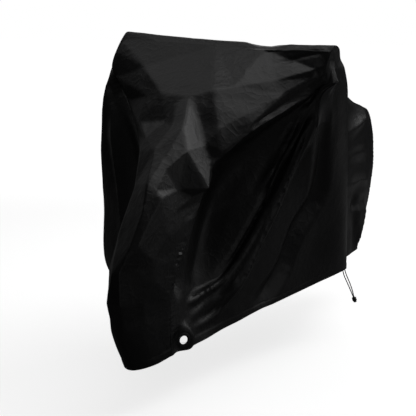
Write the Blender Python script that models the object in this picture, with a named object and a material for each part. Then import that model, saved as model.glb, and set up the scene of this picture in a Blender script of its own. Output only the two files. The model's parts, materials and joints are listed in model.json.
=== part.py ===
"""Bicycle cover: a loose bag of coated cloth, hung over a bicycle's bars, saddle and wheels.

The cover is cut as three panels: one long strip that runs up the front, over the bars and the saddle
and down the back, and one panel on each side of it. Each panel is a thin closed solid, 0.3 mm clear of
its neighbours along the seams. Near the front hem each side has a small patch with an eyelet in it.

Axes: +Z is up, the front wheel is at -Y, and the near side is +X. The tables give heights above the
ground; the part's origin is under the cloth at the middle of the handlebar, which carries the cover.
"""

import math
from dataclasses import dataclass

import bmesh
import bpy
import numpy as np
from mathutils import Matrix, Vector

# ---------------------------------------------------------------------------------------------
# Driving dimensions, in metres
# ---------------------------------------------------------------------------------------------
BAR_HEIGHT = 1.004       # underside of the cloth at the middle of the handlebar, above the ground
CLOTH = 0.0014           # thickness of the cloth
SEAM_GAP = 0.0003        # room between two pieces that are sewn together
LEAST_MITRE = 0.42       # limits how far a sharp seam lengthens the mitre of the two cloths
RIM_LEAD = (0.31, 0.57, 0.76)    # both cloths of a seam cut their rims corner to corner by this
NORMAL_BLUR = 2          # times that a panel's normals are averaged before it is thickened

# ---------------------------------------------------------------------------------------------
# The long strip, a row for each section from the front hem over the top to the rear hem:
# name, far edge, middle, near edge (x, y, height), then how its far and its near half bow: 1 is a
# round arch that turns square at the edge, 2 is a flat one
# ---------------------------------------------------------------------------------------------
STRIP_SECTIONS = (
    ("front_hem",   (-0.070, -0.470, 0.135), (0.014, -0.630, 0.124), (0.085, -0.520, 0.145), 1.2, 1.6),
    ("front_low",   (-0.075, -0.490, 0.230), (0.004, -0.677, 0.225), (0.090, -0.532, 0.240), 1.1, 1.6),
    ("axle",        (-0.078, -0.505, 0.345), (0.004, -0.708, 0.345), (0.094, -0.533, 0.330), 1.1, 1.6),
    ("tyre",        (-0.088, -0.470, 0.455), (0.028, -0.690, 0.455), (0.104, -0.475, 0.440), 1.2, 1.7),
    ("knee",        (-0.090, -0.345, 0.600), (0.040, -0.610, 0.580), (0.112, -0.358, 0.600), 1.2, 1.7),
    ("elbow",       (-0.115, -0.315, 0.675), (0.032, -0.525, 0.670), (0.132, -0.333, 0.675), 1.6, 1.6),
    ("chest",       (-0.190, -0.220, 0.765), (0.018, -0.390, 0.755), (0.200, -0.228, 0.760), 1.9, 1.7),
    ("levers",      (-0.305, -0.090, 0.860), (0.018, -0.240, 0.848), (0.300, -0.027, 0.853), 1.8, 1.8),
    ("brow",        (-0.355, -0.074, 0.930), (0.005, -0.110, 0.938), (0.344, -0.022, 0.930), 1.9, 1.9),
    ("bar",         (-0.345, 0.000, 1.032), (0.000, 0.000, 1.008), (0.362, 0.006, 0.998), 1.9, 1.9),
    ("behind_bar",  (-0.330, 0.060, 1.020), (0.000, 0.070, 1.000), (0.358, 0.066, 0.984), 1.9, 1.9),
    ("top_slope",   (-0.235, 0.220, 0.972), (0.000, 0.240, 0.972), (0.245, 0.225, 0.950), 1.8, 1.8),
    ("saddle_nose", (-0.145, 0.420, 0.955), (0.000, 0.410, 0.980), (0.145, 0.425, 0.945), 1.7, 1.7),
    ("saddle_back", (-0.125, 0.600, 0.925), (0.000, 0.600, 0.972), (0.130, 0.600, 0.915), 1.6, 1.6),
    ("rear_slope",  (-0.115, 0.765, 0.830), (0.000, 0.785, 0.868), (0.115, 0.755, 0.818), 1.7, 1.7),
    ("shelf",       (-0.108, 0.905, 0.772), (0.000, 0.925, 0.790), (0.112, 0.890, 0.764), 1.8, 1.8),
    ("shelf_end",   (-0.105, 1.075, 0.730), (0.000, 1.100, 0.742), (0.108, 1.060, 0.724), 1.7, 1.7),
    ("rear_edge",   (-0.105, 1.125, 0.655), (0.000, 1.180, 0.670), (0.108, 1.118, 0.650), 1.5, 1.5),
    ("rear_mid",    (-0.105, 1.150, 0.530), (0.000, 1.225, 0.530), (0.106, 1.142, 0.525), 1.3, 1.3),
    ("rear_knee",   (-0.102, 1.115, 0.400), (0.000, 1.195, 0.395), (0.104, 1.105, 0.395), 1.3, 1.3),
    ("rear_low",    (-0.100, 1.045, 0.280), (0.000, 1.115, 0.270), (0.100, 1.035, 0.275), 1.3, 1.3),
    ("rear_hem",    (-0.095, 0.995, 0.200), (0.000, 1.050, 0.185), (0.098, 0.990, 0.195), 1.3, 1.3),
)

# ---------------------------------------------------------------------------------------------
# The side panels. Rows go from the hem to the top edge. At each row the panel starts at one station
# of the strip's edge in front and ends at another one behind
# ---------------------------------------------------------------------------------------------
SIDE_ROWS = (
    # row,     front station, rear station, mesh steps up to the next row
    ("hem",    0.00, 21.00, 5),
    ("low",    1.75, 19.80, 5),
    ("mid",    3.40, 18.25, 5),
    ("high",   4.95, 17.30, 5),
    ("upper",  6.80, 16.60, 3),
    ("grip",   7.75, 16.30, 3),
    ("top",    8.60, 16.00, 0),
)

# Lines down the near panel from the top edge to the hem, in order from the front seam backwards:
# name, station on the top edge, then (x, y, height) at the hem, low, mid, high, upper and grip rows,
# and the number of mesh steps back to the next line
SIDE_LINES = (
    ("front_seam", 8.60, None, None, None, None, None, None, 6),
    ("hollow", 8.90, (0.098, -0.329, 0.151), (0.062, -0.308, 0.310), (0.048, -0.228, 0.490),
     (0.104, -0.182, 0.665), (0.268, -0.008, 0.825), (0.339, -0.010, 0.908), 6),
    ("pull_fold", 9.20, (0.115, -0.206, 0.165), (0.136, -0.165, 0.310), (0.175, -0.090, 0.500),
     (0.222, -0.003, 0.670), (0.299, 0.001, 0.830), (0.343, 0.000, 0.915), 5),
    ("tape_front", 9.50, (0.150, -0.031, 0.183), (0.182, 0.068, 0.310), (0.228, 0.093, 0.500),
     (0.270, 0.042, 0.680), (0.321, 0.010, 0.850), (0.349, 0.016, 0.922), 3),
    ("tape_back", 9.85, (0.190, 0.185, 0.203), (0.212, 0.215, 0.320), (0.257, 0.183, 0.500),
     (0.302, 0.121, 0.680), (0.345, 0.056, 0.860), (0.357, 0.048, 0.930), 4),
    ("wing", 10.40, (0.250, 0.433, 0.231), (0.266, 0.397, 0.330), (0.287, 0.345, 0.500),
     (0.312, 0.276, 0.680), (0.347, 0.176, 0.850), (0.361, 0.101, 0.932), 4),
    ("lee", 11.20, (0.180, 0.610, 0.208), (0.190, 0.580, 0.330), (0.205, 0.530, 0.500),
     (0.220, 0.450, 0.670), (0.235, 0.350, 0.830), (0.262, 0.262, 0.900), 4),
    ("saddle_drop", 13.00, (0.118, 0.780, 0.197), (0.125, 0.790, 0.330), (0.135, 0.770, 0.500),
     (0.140, 0.720, 0.670), (0.140, 0.640, 0.820), (0.136, 0.620, 0.872), 3),
    ("rear_wheel", 14.60, (0.105, 0.890, 0.193), (0.128, 0.940, 0.320), (0.128, 0.975, 0.490),
     (0.122, 0.950, 0.640), (0.120, 0.880, 0.740), (0.116, 0.858, 0.768), 3),
    ("rear_seam", 16.00, None, None, None, None, None, None, 0),
)

FAR_SIDE_WIDTH = 0.97    # the far panel's lines stand this much less far out than the near one's,
FAR_FRONT_LINES = {      # but for these ones, which fall straight from the far grip
    "hollow": ((-0.150, -0.300, 0.150), (-0.165, -0.305, 0.310), (-0.180, -0.270, 0.490),
               (-0.195, -0.215, 0.665), (-0.330, -0.100, 0.828), (-0.363, -0.062, 0.912)),
    "pull_fold": ((-0.268, -0.140, 0.185), (-0.352, -0.131, 0.310), (-0.363, -0.120, 0.490),
                  (-0.370, -0.120, 0.670), (-0.372, -0.098, 0.830), (-0.374, -0.046, 0.915)),
    "tape_front": ((-0.300, 0.000, 0.195), (-0.350, -0.045, 0.320), (-0.361, -0.045, 0.500),
                   (-0.366, -0.050, 0.680), (-0.372, -0.040, 0.850), (-0.372, -0.014, 0.925)),
    "tape_back": ((-0.275, 0.170, 0.210), (-0.322, 0.100, 0.320), (-0.342, 0.080, 0.500),
                  (-0.352, 0.060, 0.680), (-0.364, 0.040, 0.860), (-0.362, 0.036, 0.935)),
}

STRIP_COLUMNS = 12       # mesh columns across the strip
TOP_ROWS_START = 5.0     # from this row up, a side panel closes on the strip's edge
SHARP_EDGE = math.radians(50.0)
COLLECTION = "bicycle_cover"

# ---------------------------------------------------------------------------------------------
# Folds: panel, path over the cloth (x, y, height), half width, how far it stands out (a trough is
# negative), crispness (0 is a soft swell, 1 has a sharp crest), part of its length that fades out
# ---------------------------------------------------------------------------------------------
FOLDS = (
    # tension folds that fan from the near grip down to the eyelet
    ("near", ((0.268, -0.010, 0.801), (0.208, -0.036, 0.670), (0.156, -0.096, 0.546)), 0.028, 0.012, 0.7, 0.3),
    ("near", ((0.318, 0.027, 0.842), (0.246, 0.016, 0.682), (0.200, -0.038, 0.544),
              (0.165, -0.115, 0.408), (0.131, -0.191, 0.296), (0.094, -0.280, 0.198)), 0.036, 0.020, 0.8, 0.2),
    ("near", ((0.210, -0.045, 0.600), (0.175, -0.122, 0.456), (0.114, -0.226, 0.317),
              (0.075, -0.335, 0.277), (0.073, -0.416, 0.267)), 0.034, 0.020, 0.6, 0.25),
    ("near", ((0.272, 0.005, 0.760), (0.191, -0.071, 0.551), (0.138, -0.173, 0.394),
              (0.078, -0.289, 0.244)), 0.026, -0.012, 0.4, 0.3),
    ("near", ((0.333, 0.027, 0.867), (0.301, 0.091, 0.733), (0.257, 0.160, 0.534), (0.209, 0.105, 0.417),
              (0.175, 0.060, 0.290), (0.137, -0.033, 0.222), (0.110, -0.160, 0.190)), 0.060, -0.028, 0.2, 0.3),
    ("near", ((0.339, 0.064, 0.834), (0.313, 0.120, 0.718), (0.271, 0.222, 0.511)), 0.035, 0.006, 0.7, 0.4),
    ("near", ((0.263, -0.014, 0.792), (0.121, -0.136, 0.646), (0.059, -0.188, 0.543),
              (0.043, -0.278, 0.374), (0.065, -0.387, 0.296)), 0.070, -0.014, 0.3, 0.25),
    # short folds that gather at the near eyelet
    ("near", ((0.085, -0.349, 0.190), (0.093, -0.259, 0.230), (0.131, -0.184, 0.273)), 0.020, -0.008, 0.3, 0.4),
    ("near", ((0.095, -0.380, 0.195), (0.087, -0.294, 0.205), (0.122, -0.194, 0.238)), 0.022, 0.008, 0.5, 0.4),
    # the slack cloth over the rear wheel, near side
    ("near", ((0.140, 0.760, 0.700), (0.120, 0.950, 0.690), (0.112, 1.080, 0.660)), 0.060, 0.022, 0.6, 0.3),
    ("near", ((0.130, 0.780, 0.600), (0.126, 0.950, 0.585), (0.114, 1.100, 0.560)), 0.045, -0.022, 0.3, 0.3),
    ("near", ((0.130, 0.800, 0.500), (0.131, 0.940, 0.495), (0.108, 1.110, 0.450)), 0.050, 0.020, 0.7, 0.3),
    ("near", ((0.125, 0.860, 0.470), (0.120, 0.900, 0.330), (0.115, 0.930, 0.190)), 0.050, -0.016, 0.4, 0.3),
    ("near", ((0.125, 0.990, 0.420), (0.115, 0.985, 0.300), (0.105, 0.960, 0.180)), 0.040, 0.012, 0.6, 0.3),
    ("near", ((0.200, 0.520, 0.800), (0.170, 0.650, 0.550), (0.140, 0.740, 0.250)), 0.070, -0.022, 0.2, 0.3),
    # the strip in front: ridges from both grips, the band over the wheel and the hollow beside it
    ("strip", ((-0.313, -0.050, 0.979), (-0.199, -0.139, 0.923), (-0.083, -0.230, 0.855)), 0.085, 0.020, 0.5, 0.2),
    ("strip", ((-0.056, -0.237, 0.848), (-0.093, -0.274, 0.807), (-0.130, -0.300, 0.767)), 0.045, -0.016, 0.5, 0.3),
    ("strip", ((-0.009, -0.370, 0.766), (0.014, -0.504, 0.695), (0.053, -0.618, 0.584),
               (0.052, -0.665, 0.509), (0.030, -0.697, 0.443)), 0.050, 0.016, 0.5, 0.25),
    ("strip", ((0.017, -0.249, 0.845), (0.131, -0.169, 0.873), (0.254, -0.075, 0.909),
               (0.327, -0.033, 0.935)), 0.085, 0.024, 0.9, 0.12),
    ("strip", ((0.020, -0.257, 0.840), (0.057, -0.363, 0.768), (0.100, -0.440, 0.706),
               (0.112, -0.380, 0.640)), 0.045, 0.018, 0.5, 0.2),
    ("strip", ((0.048, -0.262, 0.832), (0.095, -0.325, 0.775), (0.132, -0.336, 0.690)), 0.035, -0.018, 0.6, 0.2),
    ("strip", ((0.160, -0.245, 0.770), (0.230, -0.150, 0.830), (0.300, -0.055, 0.890)), 0.040, -0.016, 0.5, 0.3),
    ("strip", ((0.190, -0.067, 0.949), (0.270, -0.036, 0.967), (0.349, -0.010, 0.991)), 0.028, -0.010, 0.5, 0.3),
    ("strip", ((0.066, -0.514, 0.665), (0.092, -0.500, 0.626), (0.088, -0.530, 0.560)), 0.040, 0.012, 0.6, 0.4),
    ("strip", ((0.070, -0.470, 0.695), (0.095, -0.420, 0.640), (0.110, -0.375, 0.608)), 0.030, -0.012, 0.5, 0.4),
    ("strip", ((0.089, -0.519, 0.553), (0.100, -0.450, 0.555), (0.111, -0.393, 0.562)), 0.022, -0.009, 0.5, 0.4),
    # the strip over the top and behind
    ("strip", ((0.060, 0.010, 1.010), (0.135, 0.020, 1.004), (0.220, 0.015, 1.004)), 0.060, -0.012, 0.2, 0.4),
    ("strip", ((-0.240, 0.060, 1.020), (-0.090, 0.240, 0.985), (-0.010, 0.400, 0.980)), 0.070, 0.014, 0.5, 0.3),
    ("strip", ((0.260, 0.060, 1.000), (0.110, 0.230, 0.980), (0.020, 0.400, 0.980)), 0.070, 0.014, 0.5, 0.3),
    ("strip", ((-0.100, 0.690, 0.890), (0.000, 0.720, 0.905), (0.110, 0.690, 0.875)), 0.060, -0.018, 0.3, 0.3),
    ("strip", ((-0.100, 0.860, 0.790), (0.000, 0.880, 0.810), (0.110, 0.850, 0.780)), 0.045, -0.014, 0.4, 0.3),
    ("strip", ((0.060, 1.180, 0.640), (0.020, 1.220, 0.500), (0.050, 1.150, 0.300)), 0.045, 0.014, 0.5, 0.3),
    ("strip", ((-0.050, 1.180, 0.620), (-0.060, 1.200, 0.450), (-0.020, 1.130, 0.280)), 0.045, -0.014, 0.4, 0.3),
    # the far side hangs in the same kind of folds, from the far grip
    ("far", ((-0.345, -0.095, 0.830), (-0.280, -0.165, 0.660), (-0.215, -0.230, 0.480),
             (-0.150, -0.300, 0.300), (-0.115, -0.360, 0.210)), 0.045, 0.020, 0.7, 0.2),
    ("far", ((-0.360, -0.020, 0.850), (-0.352, 0.030, 0.660), (-0.335, 0.080, 0.450),
             (-0.290, 0.120, 0.250)), 0.050, -0.018, 0.2, 0.2),
    ("far", ((-0.345, 0.090, 0.850), (-0.325, 0.170, 0.620), (-0.280, 0.250, 0.400)), 0.050, 0.012, 0.6, 0.3),
    ("far", ((-0.195, 0.480, 0.800), (-0.165, 0.640, 0.550), (-0.140, 0.730, 0.250)), 0.070, -0.022, 0.2, 0.3),
    ("far", ((-0.130, 0.760, 0.690), (-0.118, 0.940, 0.680), (-0.108, 1.080, 0.650)), 0.055, 0.018, 0.6, 0.3),
    ("far", ((-0.128, 0.800, 0.590), (-0.122, 0.950, 0.560), (-0.108, 1.090, 0.540)), 0.045, -0.020, 0.3, 0.3),
    ("far", ((-0.125, 0.900, 0.450), (-0.118, 0.950, 0.320), (-0.105, 0.960, 0.190)), 0.050, 0.014, 0.6, 0.3),
)
SEAM_CALM = 0.030        # folds die out over this distance from a seam
FOLD_SAMPLES = 25        # points along a fold's path
FOLD_REACH = 0.090       # a fold moves no cloth that lies further than this off its path

# ---------------------------------------------------------------------------------------------
# Eyelets, sewn tape and drawcord
# ---------------------------------------------------------------------------------------------
PATCH_COLUMNS = 4        # the patch takes these mesh steps of the side panel, back from the seam
PATCH_ROWS = 2           # and these, up from the hem
EYELET_HOLE = 0.0150     # radius of the hole in the patch
EYELET_FLAT = 0.0250     # the patch is flat out to this radius
EYELETS = (
    # panel, centre (x, y, height), direction that it faces
    ("near", (0.092, -0.455, 0.178), (0.80, -0.58, -0.05)),
    ("far", (-0.098, -0.412, 0.172), (-0.90, -0.43, -0.03)),
)
EYELET_BORE = 0.0125     # inner radius of the ring
EYELET_RIM = 0.0215      # outer radius of the ring
EYELET_LIP = 0.0016      # thickness of each of its two lips
EYELET_TURNS = 28        # mesh steps round a ring

TAPE_COLUMNS = (17, 20)  # the sewn tape covers these mesh columns of the near panel
TAPE_ROWS = (17, 22)     # and these rows
TAPE = 0.0014            # thickness of the tape
TAPE_CLEARANCE = 0.0004  # room between the tape and the cloth under it

CORD_DIAMETER = 0.0022
CORD_SIDES = 2           # bevel resolution of the cords: 8 sides
CORD_ROUTES = (
    # the two strands leave the hem at the near panel's low corner and run to the toggle
    ("drawcord_front", ((0.2488, 0.4290, 0.2299), (0.2520, 0.4330, 0.2120), (0.2615, 0.4440, 0.1820),
                        (0.2685, 0.4520, 0.1590), (0.2764, 0.4568, 0.1360))),
    ("drawcord_rear", ((0.2483, 0.4385, 0.2299), (0.2525, 0.4420, 0.2110), (0.2628, 0.4510, 0.1810),
                       (0.2700, 0.4566, 0.1585), (0.2776, 0.4592, 0.1360))),
)
CORD_POINTS = 26         # points along each strand
TOGGLE_TOP = (0.2772, 0.4580, 0.1354)
TOGGLE_AXIS = (0.36, 0.04, -0.93)
TOGGLE_RADIUS = 0.0075
TOGGLE_LENGTH = 0.0190
TOGGLE_TURNS = 20

# Materials: name, colour, roughness
CLOTH_LOOK = ("coated_cloth", (0.012, 0.012, 0.014), 0.45)
TAPE_LOOK = ("woven_tape", (0.016, 0.016, 0.018), 0.60)
RING_LOOK = ("eyelet_black", (0.020, 0.020, 0.022), 0.35)
CORD_LOOK = ("drawcord_black", (0.014, 0.014, 0.015), 0.70)
TOGGLE_LOOK = ("toggle_black", (0.016, 0.016, 0.017), 0.40)


# ---------------------------------------------------------------------------------------------
# Curves
# ---------------------------------------------------------------------------------------------
def mixed(a, b, part):
    """The value `part` of the way from a to b."""
    return a + (b - a) * part


def smooth_step(value):
    """0 below 0, 1 above 1 and a soft S between them; takes numbers and arrays."""
    value = np.clip(value, 0.0, 1.0)
    return value * value * (3.0 - 2.0 * value)


def unit(vector):
    """A vector, or an array of them, at length 1."""
    vector = np.asarray(vector, float)
    return vector / np.maximum(np.linalg.norm(vector, axis=-1, keepdims=True), 1e-12)


def smooth_curve(points, at):
    """Point at position `at` (0 to len - 1) on a curve through the points that never overshoots."""
    points = np.asarray(points, float)
    last = len(points) - 1
    at = min(max(at, 0.0), float(last))
    start = min(int(at), last - 1)
    part = at - start

    def tangent(index):
        if index in (0, last):
            near_end = 1 if index == 0 else last
            return points[near_end] - points[near_end - 1]
        step_in = points[index] - points[index - 1]
        step_out = points[index + 1] - points[index]
        length = min(np.linalg.norm(step_in), np.linalg.norm(step_out))
        return unit(step_in + step_out) * length

    p2, p3 = part * part, part ** 3
    return ((2 * p3 - 3 * p2 + 1) * points[start] + (p3 - 2 * p2 + part) * tangent(start)
            + (3 * p2 - 2 * p3) * points[start + 1] + (p3 - p2) * tangent(start + 1))


def sampled_curve(points, count):
    """`count` points at even positions along the smooth curve through the given points."""
    last = len(points) - 1
    return np.array([smooth_curve(points, last * k / (count - 1)) for k in range(count)])


# ---------------------------------------------------------------------------------------------
# The outer faces of the panels, as grids of points
# ---------------------------------------------------------------------------------------------
def strip_edge(side, station):
    """Point on the strip's near (side 1) or far (side -1) edge, at a station along its length."""
    column = 3 if side > 0 else 1
    return smooth_curve([row[column] for row in STRIP_SECTIONS], station)


def strip_point(station, across):
    """Point of the strip, across it from 0 at the far edge to 1 at the near edge."""
    far = strip_edge(-1, station)
    near = strip_edge(1, station)
    middle = smooth_curve([row[2] for row in STRIP_SECTIONS], station)
    far_bow, near_bow = smooth_curve([row[4:6] for row in STRIP_SECTIONS], station)
    bow = mixed(far_bow, near_bow, across)
    roundness = min(max(2.0 - bow, 0.0), 1.0)
    place = (1.0 - roundness) * across + roundness * (1.0 - math.cos(math.pi * across)) / 2.0
    rise = max(4.0 * place * (1.0 - place), 0.0) ** (bow / 2.0)
    return far + (near - far) * place + (middle - (far + near) / 2.0) * rise


def side_line(side, line, row, row_part):
    """Point on one line down a side panel, `row_part` of the way from a row to the next one."""
    edge_column = {"front_seam": 1, "rear_seam": 2}.get(SIDE_LINES[line][0])
    if edge_column:
        return strip_edge(side, station_at(SIDE_ROWS, edge_column, (row, row_part)))
    width = 1.0 if side > 0 else FAR_SIDE_WIDTH
    points = [(x * width * side, y, z) for x, y, z in SIDE_LINES[line][2:-1]]
    if side < 0:
        points = list(FAR_FRONT_LINES.get(SIDE_LINES[line][0], points))
    points.append(strip_edge(side, SIDE_LINES[line][1]))
    return smooth_curve(points, row + row_part)


def station_at(table, column, place):
    """A table's value in one column, at a place given as a row and the part of the way on."""
    index, part = place
    return mixed(table[index][column], table[min(index + 1, len(table) - 1)][column], part)


def counted_steps(table):
    """Every mesh place along a table whose last column counts the steps to the next row."""
    places = []
    for index, row in enumerate(table):
        places += [(index, step / row[-1]) for step in range(row[-1])]
    return places + [(len(table) - 1, 0.0)]


ROW_PLACES = counted_steps(SIDE_ROWS)
LINE_PLACES = counted_steps(SIDE_LINES)


def side_grid(side):
    """Outer face of a side panel: rows from the hem to the top, columns from front to back."""
    grid = np.zeros((len(ROW_PLACES), len(LINE_PLACES), 3))
    for i, (row, row_part) in enumerate(ROW_PLACES):
        lines = [side_line(side, k, row, row_part) for k in range(len(SIDE_LINES))]
        for j, (line, line_part) in enumerate(LINE_PLACES):
            grid[i, j] = smooth_curve(lines, line + line_part)
    for j, place in enumerate(LINE_PLACES):
        slip = strip_edge(side, station_at(SIDE_LINES, 1, place)) - grid[-1, j]
        for i, (row, row_part) in enumerate(ROW_PLACES):
            grid[i, j] += slip * smooth_step(row + row_part - TOP_ROWS_START)
    return grid


def strip_stations():
    """The strip's mesh stations: up the front seam, along the top edge, down the rear seam."""
    front = [station_at(SIDE_ROWS, 1, place) for place in ROW_PLACES]
    top = [station_at(SIDE_LINES, 1, place) for place in LINE_PLACES]
    rear = [station_at(SIDE_ROWS, 2, place) for place in reversed(ROW_PLACES)]
    return front + top[1:] + rear[1:]


def strip_grid():
    """Outer face of the strip: rows along its length, columns from the far to the near edge."""
    return np.array([[strip_point(station, k / STRIP_COLUMNS) for k in range(STRIP_COLUMNS + 1)]
                     for station in strip_stations()])


def grid_normals(grid, turn):
    """Unit normals of a grid of points; `turn` is 1 or -1, so that they face out."""
    return unit(np.cross(np.gradient(grid, axis=0), np.gradient(grid, axis=1)) * turn)


def calmed(normals):
    """Normals averaged over their neighbours, so that a tight hollow keeps its inner face."""
    for _ in range(NORMAL_BLUR):
        wide = np.pad(normals, ((1, 1), (1, 1), (0, 0)), mode="edge")
        normals = unit(wide[1:-1, 1:-1] * 2.0 + wide[:-2, 1:-1] + wide[2:, 1:-1]
                       + wide[1:-1, :-2] + wide[1:-1, 2:])
    return normals


def fold_heights(panel, grid, normals):
    """How far the folds of one panel push each point of its grid out along its normal."""
    total = np.zeros(grid.shape[:2])
    for owner, path, half_width, height, crispness, fade in FOLDS:
        if owner != panel:
            continue
        line = sampled_curve(path, FOLD_SAMPLES)
        nearest = np.full(grid.shape[:2], np.inf)
        along = np.zeros(grid.shape[:2])
        for k in range(FOLD_SAMPLES - 1):
            step = line[k + 1] - line[k]
            part = np.clip(((grid - line[k]) @ step) / (step @ step), 0.0, 1.0)
            apart = grid - (line[k] + part[..., None] * step)
            off_cloth = np.abs(np.sum(apart * normals, axis=2))
            on_cloth = np.sqrt(np.maximum(np.sum(apart * apart, axis=2) - off_cloth ** 2, 0.0))
            on_cloth[off_cloth > FOLD_REACH] = np.inf
            closer = on_cloth < nearest
            nearest[closer] = on_cloth[closer]
            along[closer] = ((k + part) / (FOLD_SAMPLES - 1))[closer]
        t = np.clip(nearest / half_width, 0.0, 1.0)
        shape = crispness * (1.0 - t) ** 2 + (1.0 - crispness) * (1.0 - t * t) ** 2
        total += height * shape * smooth_step(along / fade) * smooth_step((1.0 - along) / fade)
    return total


@dataclass
class Panel:
    """One cut piece: its outer face, the normals it is thickened along, and its seam allowances."""

    outer: np.ndarray
    normals: np.ndarray
    mitre: np.ndarray        # how many thicknesses deep the cloth is at each point
    slide: np.ndarray        # how far each point draws back from its neighbour

    def inner(self):
        """The inner face."""
        return self.outer - self.normals * (CLOTH * self.mitre)[..., None]


def folded_panel(name, grid, turn, edges):
    """A panel with its folds; `edges` are the grid's seam lines, where the folds die out."""
    normals = grid_normals(grid, turn)
    heights = fold_heights(name, grid, normals)
    for edge in edges:
        heights *= smooth_step(np.linalg.norm(grid - edge, axis=2) / SEAM_CALM)
    grid = grid + normals * heights[..., None]
    return Panel(grid, calmed(grid_normals(grid, turn)), np.ones(grid.shape[:2]), np.zeros(grid.shape))


def side_panel(side):
    """A side panel, near (1) or far (-1)."""
    grid = side_grid(side)
    edges = (grid[:, :1], grid[-1:, :], grid[:, -1:])
    return folded_panel("near" if side > 0 else "far", grid, -side, edges)


def strip_panel():
    """The long strip."""
    grid = strip_grid()
    return folded_panel("strip", grid, -1, (grid[:, :1], grid[:, -1:]))


def seam_places():
    """For each row of the strip, the place on a side panel's grid that it is sewn to, and the next
    place inwards from there."""
    last_row, last_column = len(ROW_PLACES) - 1, len(LINE_PLACES) - 1
    front = [((i, 0), (i, 1)) for i in range(last_row)]
    corner = [((last_row, 0), (last_row - 1, 1))]
    top = [((last_row, j), (last_row - 1, j)) for j in range(1, last_column)]
    far_corner = [((last_row, last_column), (last_row - 1, last_column - 1))]
    rear = [((i, last_column), (i, last_column - 1)) for i in reversed(range(last_row))]
    return front + corner + top + far_corner + rear


def sew(strip, panel, side):
    """Give the strip and a side panel one mitred seam, with a hair's breadth between them."""
    column = STRIP_COLUMNS if side > 0 else 0
    inward = column - side
    places = seam_places()
    rows = len(places)
    for row, (place, inner_place) in enumerate(places):
        shared = unit(strip.normals[row, column] + panel.normals[place])
        depth = 1.0 / max(float(shared @ strip.normals[row, column]), LEAST_MITRE)
        run = panel.outer[places[min(row + 1, rows - 1)][0]] - panel.outer[places[max(row - 1, 0)][0]]
        across_seam = unit(np.cross(shared, run))
        strip_way = unit(strip.outer[row, inward] - strip.outer[row, column])
        panel_way = unit(panel.outer[inner_place] - panel.outer[place])
        strip.slide[row, column] = strip_way * SEAM_GAP / 2 / max(abs(strip_way @ across_seam), 0.5)
        panel.slide[place] = panel_way * SEAM_GAP / 2 / max(abs(panel_way @ across_seam), 0.5)
        for piece, spot in ((strip, (row, column)), (panel, place)):
            piece.normals[spot] = shared
            piece.mitre[spot] = depth


# ---------------------------------------------------------------------------------------------
# Solids
# ---------------------------------------------------------------------------------------------
def shell_mesh(name, outer, inner, cells):
    """A closed mesh between two layers of points; `cells` name their points by key."""
    mesh = bpy.data.meshes.new(name)
    work = bmesh.new()
    keys = sorted({key for cell in cells for key in cell})
    drop = np.array((0.0, 0.0, BAR_HEIGHT))
    top = {key: work.verts.new(outer[key] - drop) for key in keys}
    under = {key: work.verts.new(inner[key] - drop) for key in keys}
    borders = set()
    for cell in cells:
        for corners in (cell[:3], (cell[0], *cell[2:])):
            work.faces.new([top[key] for key in corners])
            work.faces.new([under[key] for key in reversed(corners)])
        borders.update(zip(cell, cell[1:] + cell[:1]))
    for start, end in sorted(borders):
        if (end, start) in borders:
            continue
        if np.dot(outer[start] - outer[end], RIM_LEAD) > 0.0:
            work.faces.new((top[end], top[start], under[end]))
            work.faces.new((top[start], under[start], under[end]))
        else:
            work.faces.new((top[end], top[start], under[start]))
            work.faces.new((top[end], under[start], under[end]))
    return closed_mesh(mesh, work)


def closed_mesh(mesh, work):
    """Fill a mesh from a bmesh whose faces are all turned out, and shade it smooth."""
    bmesh.ops.recalc_face_normals(work, faces=work.faces)
    if work.calc_volume(signed=True) < 0.0:
        bmesh.ops.reverse_faces(work, faces=work.faces)
    work.to_mesh(mesh)
    work.free()
    mesh.shade_smooth()
    mesh.set_sharp_from_angle(angle=SHARP_EDGE)
    return mesh


def panel_solid(name, panel, notch_columns=0, notch_rows=0):
    """The solid of a panel, less the notch that its eyelet patch fills at the front of the hem."""
    rows, columns = panel.outer.shape[:2]
    slide = panel.slide.copy()
    if notch_columns:
        back = unit(panel.outer[0, notch_columns + 1] - panel.outer[0, notch_columns])
        lift = unit(panel.outer[notch_rows + 1, 0] - panel.outer[notch_rows, 0])
        slide[:notch_rows + 1, notch_columns] += back * SEAM_GAP / 2
        slide[notch_rows, :notch_columns + 1] += lift * SEAM_GAP / 2
    outer = panel.outer + slide
    inner = panel.inner() + slide
    cells = [((i, j), (i, j + 1), (i + 1, j + 1), (i + 1, j))
             for i in range(rows - 1) for j in range(columns - 1)
             if not (i < notch_rows and j < notch_columns)]
    return add_object(name, shell_mesh(name, outer, inner, cells), CLOTH_LOOK)


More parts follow.
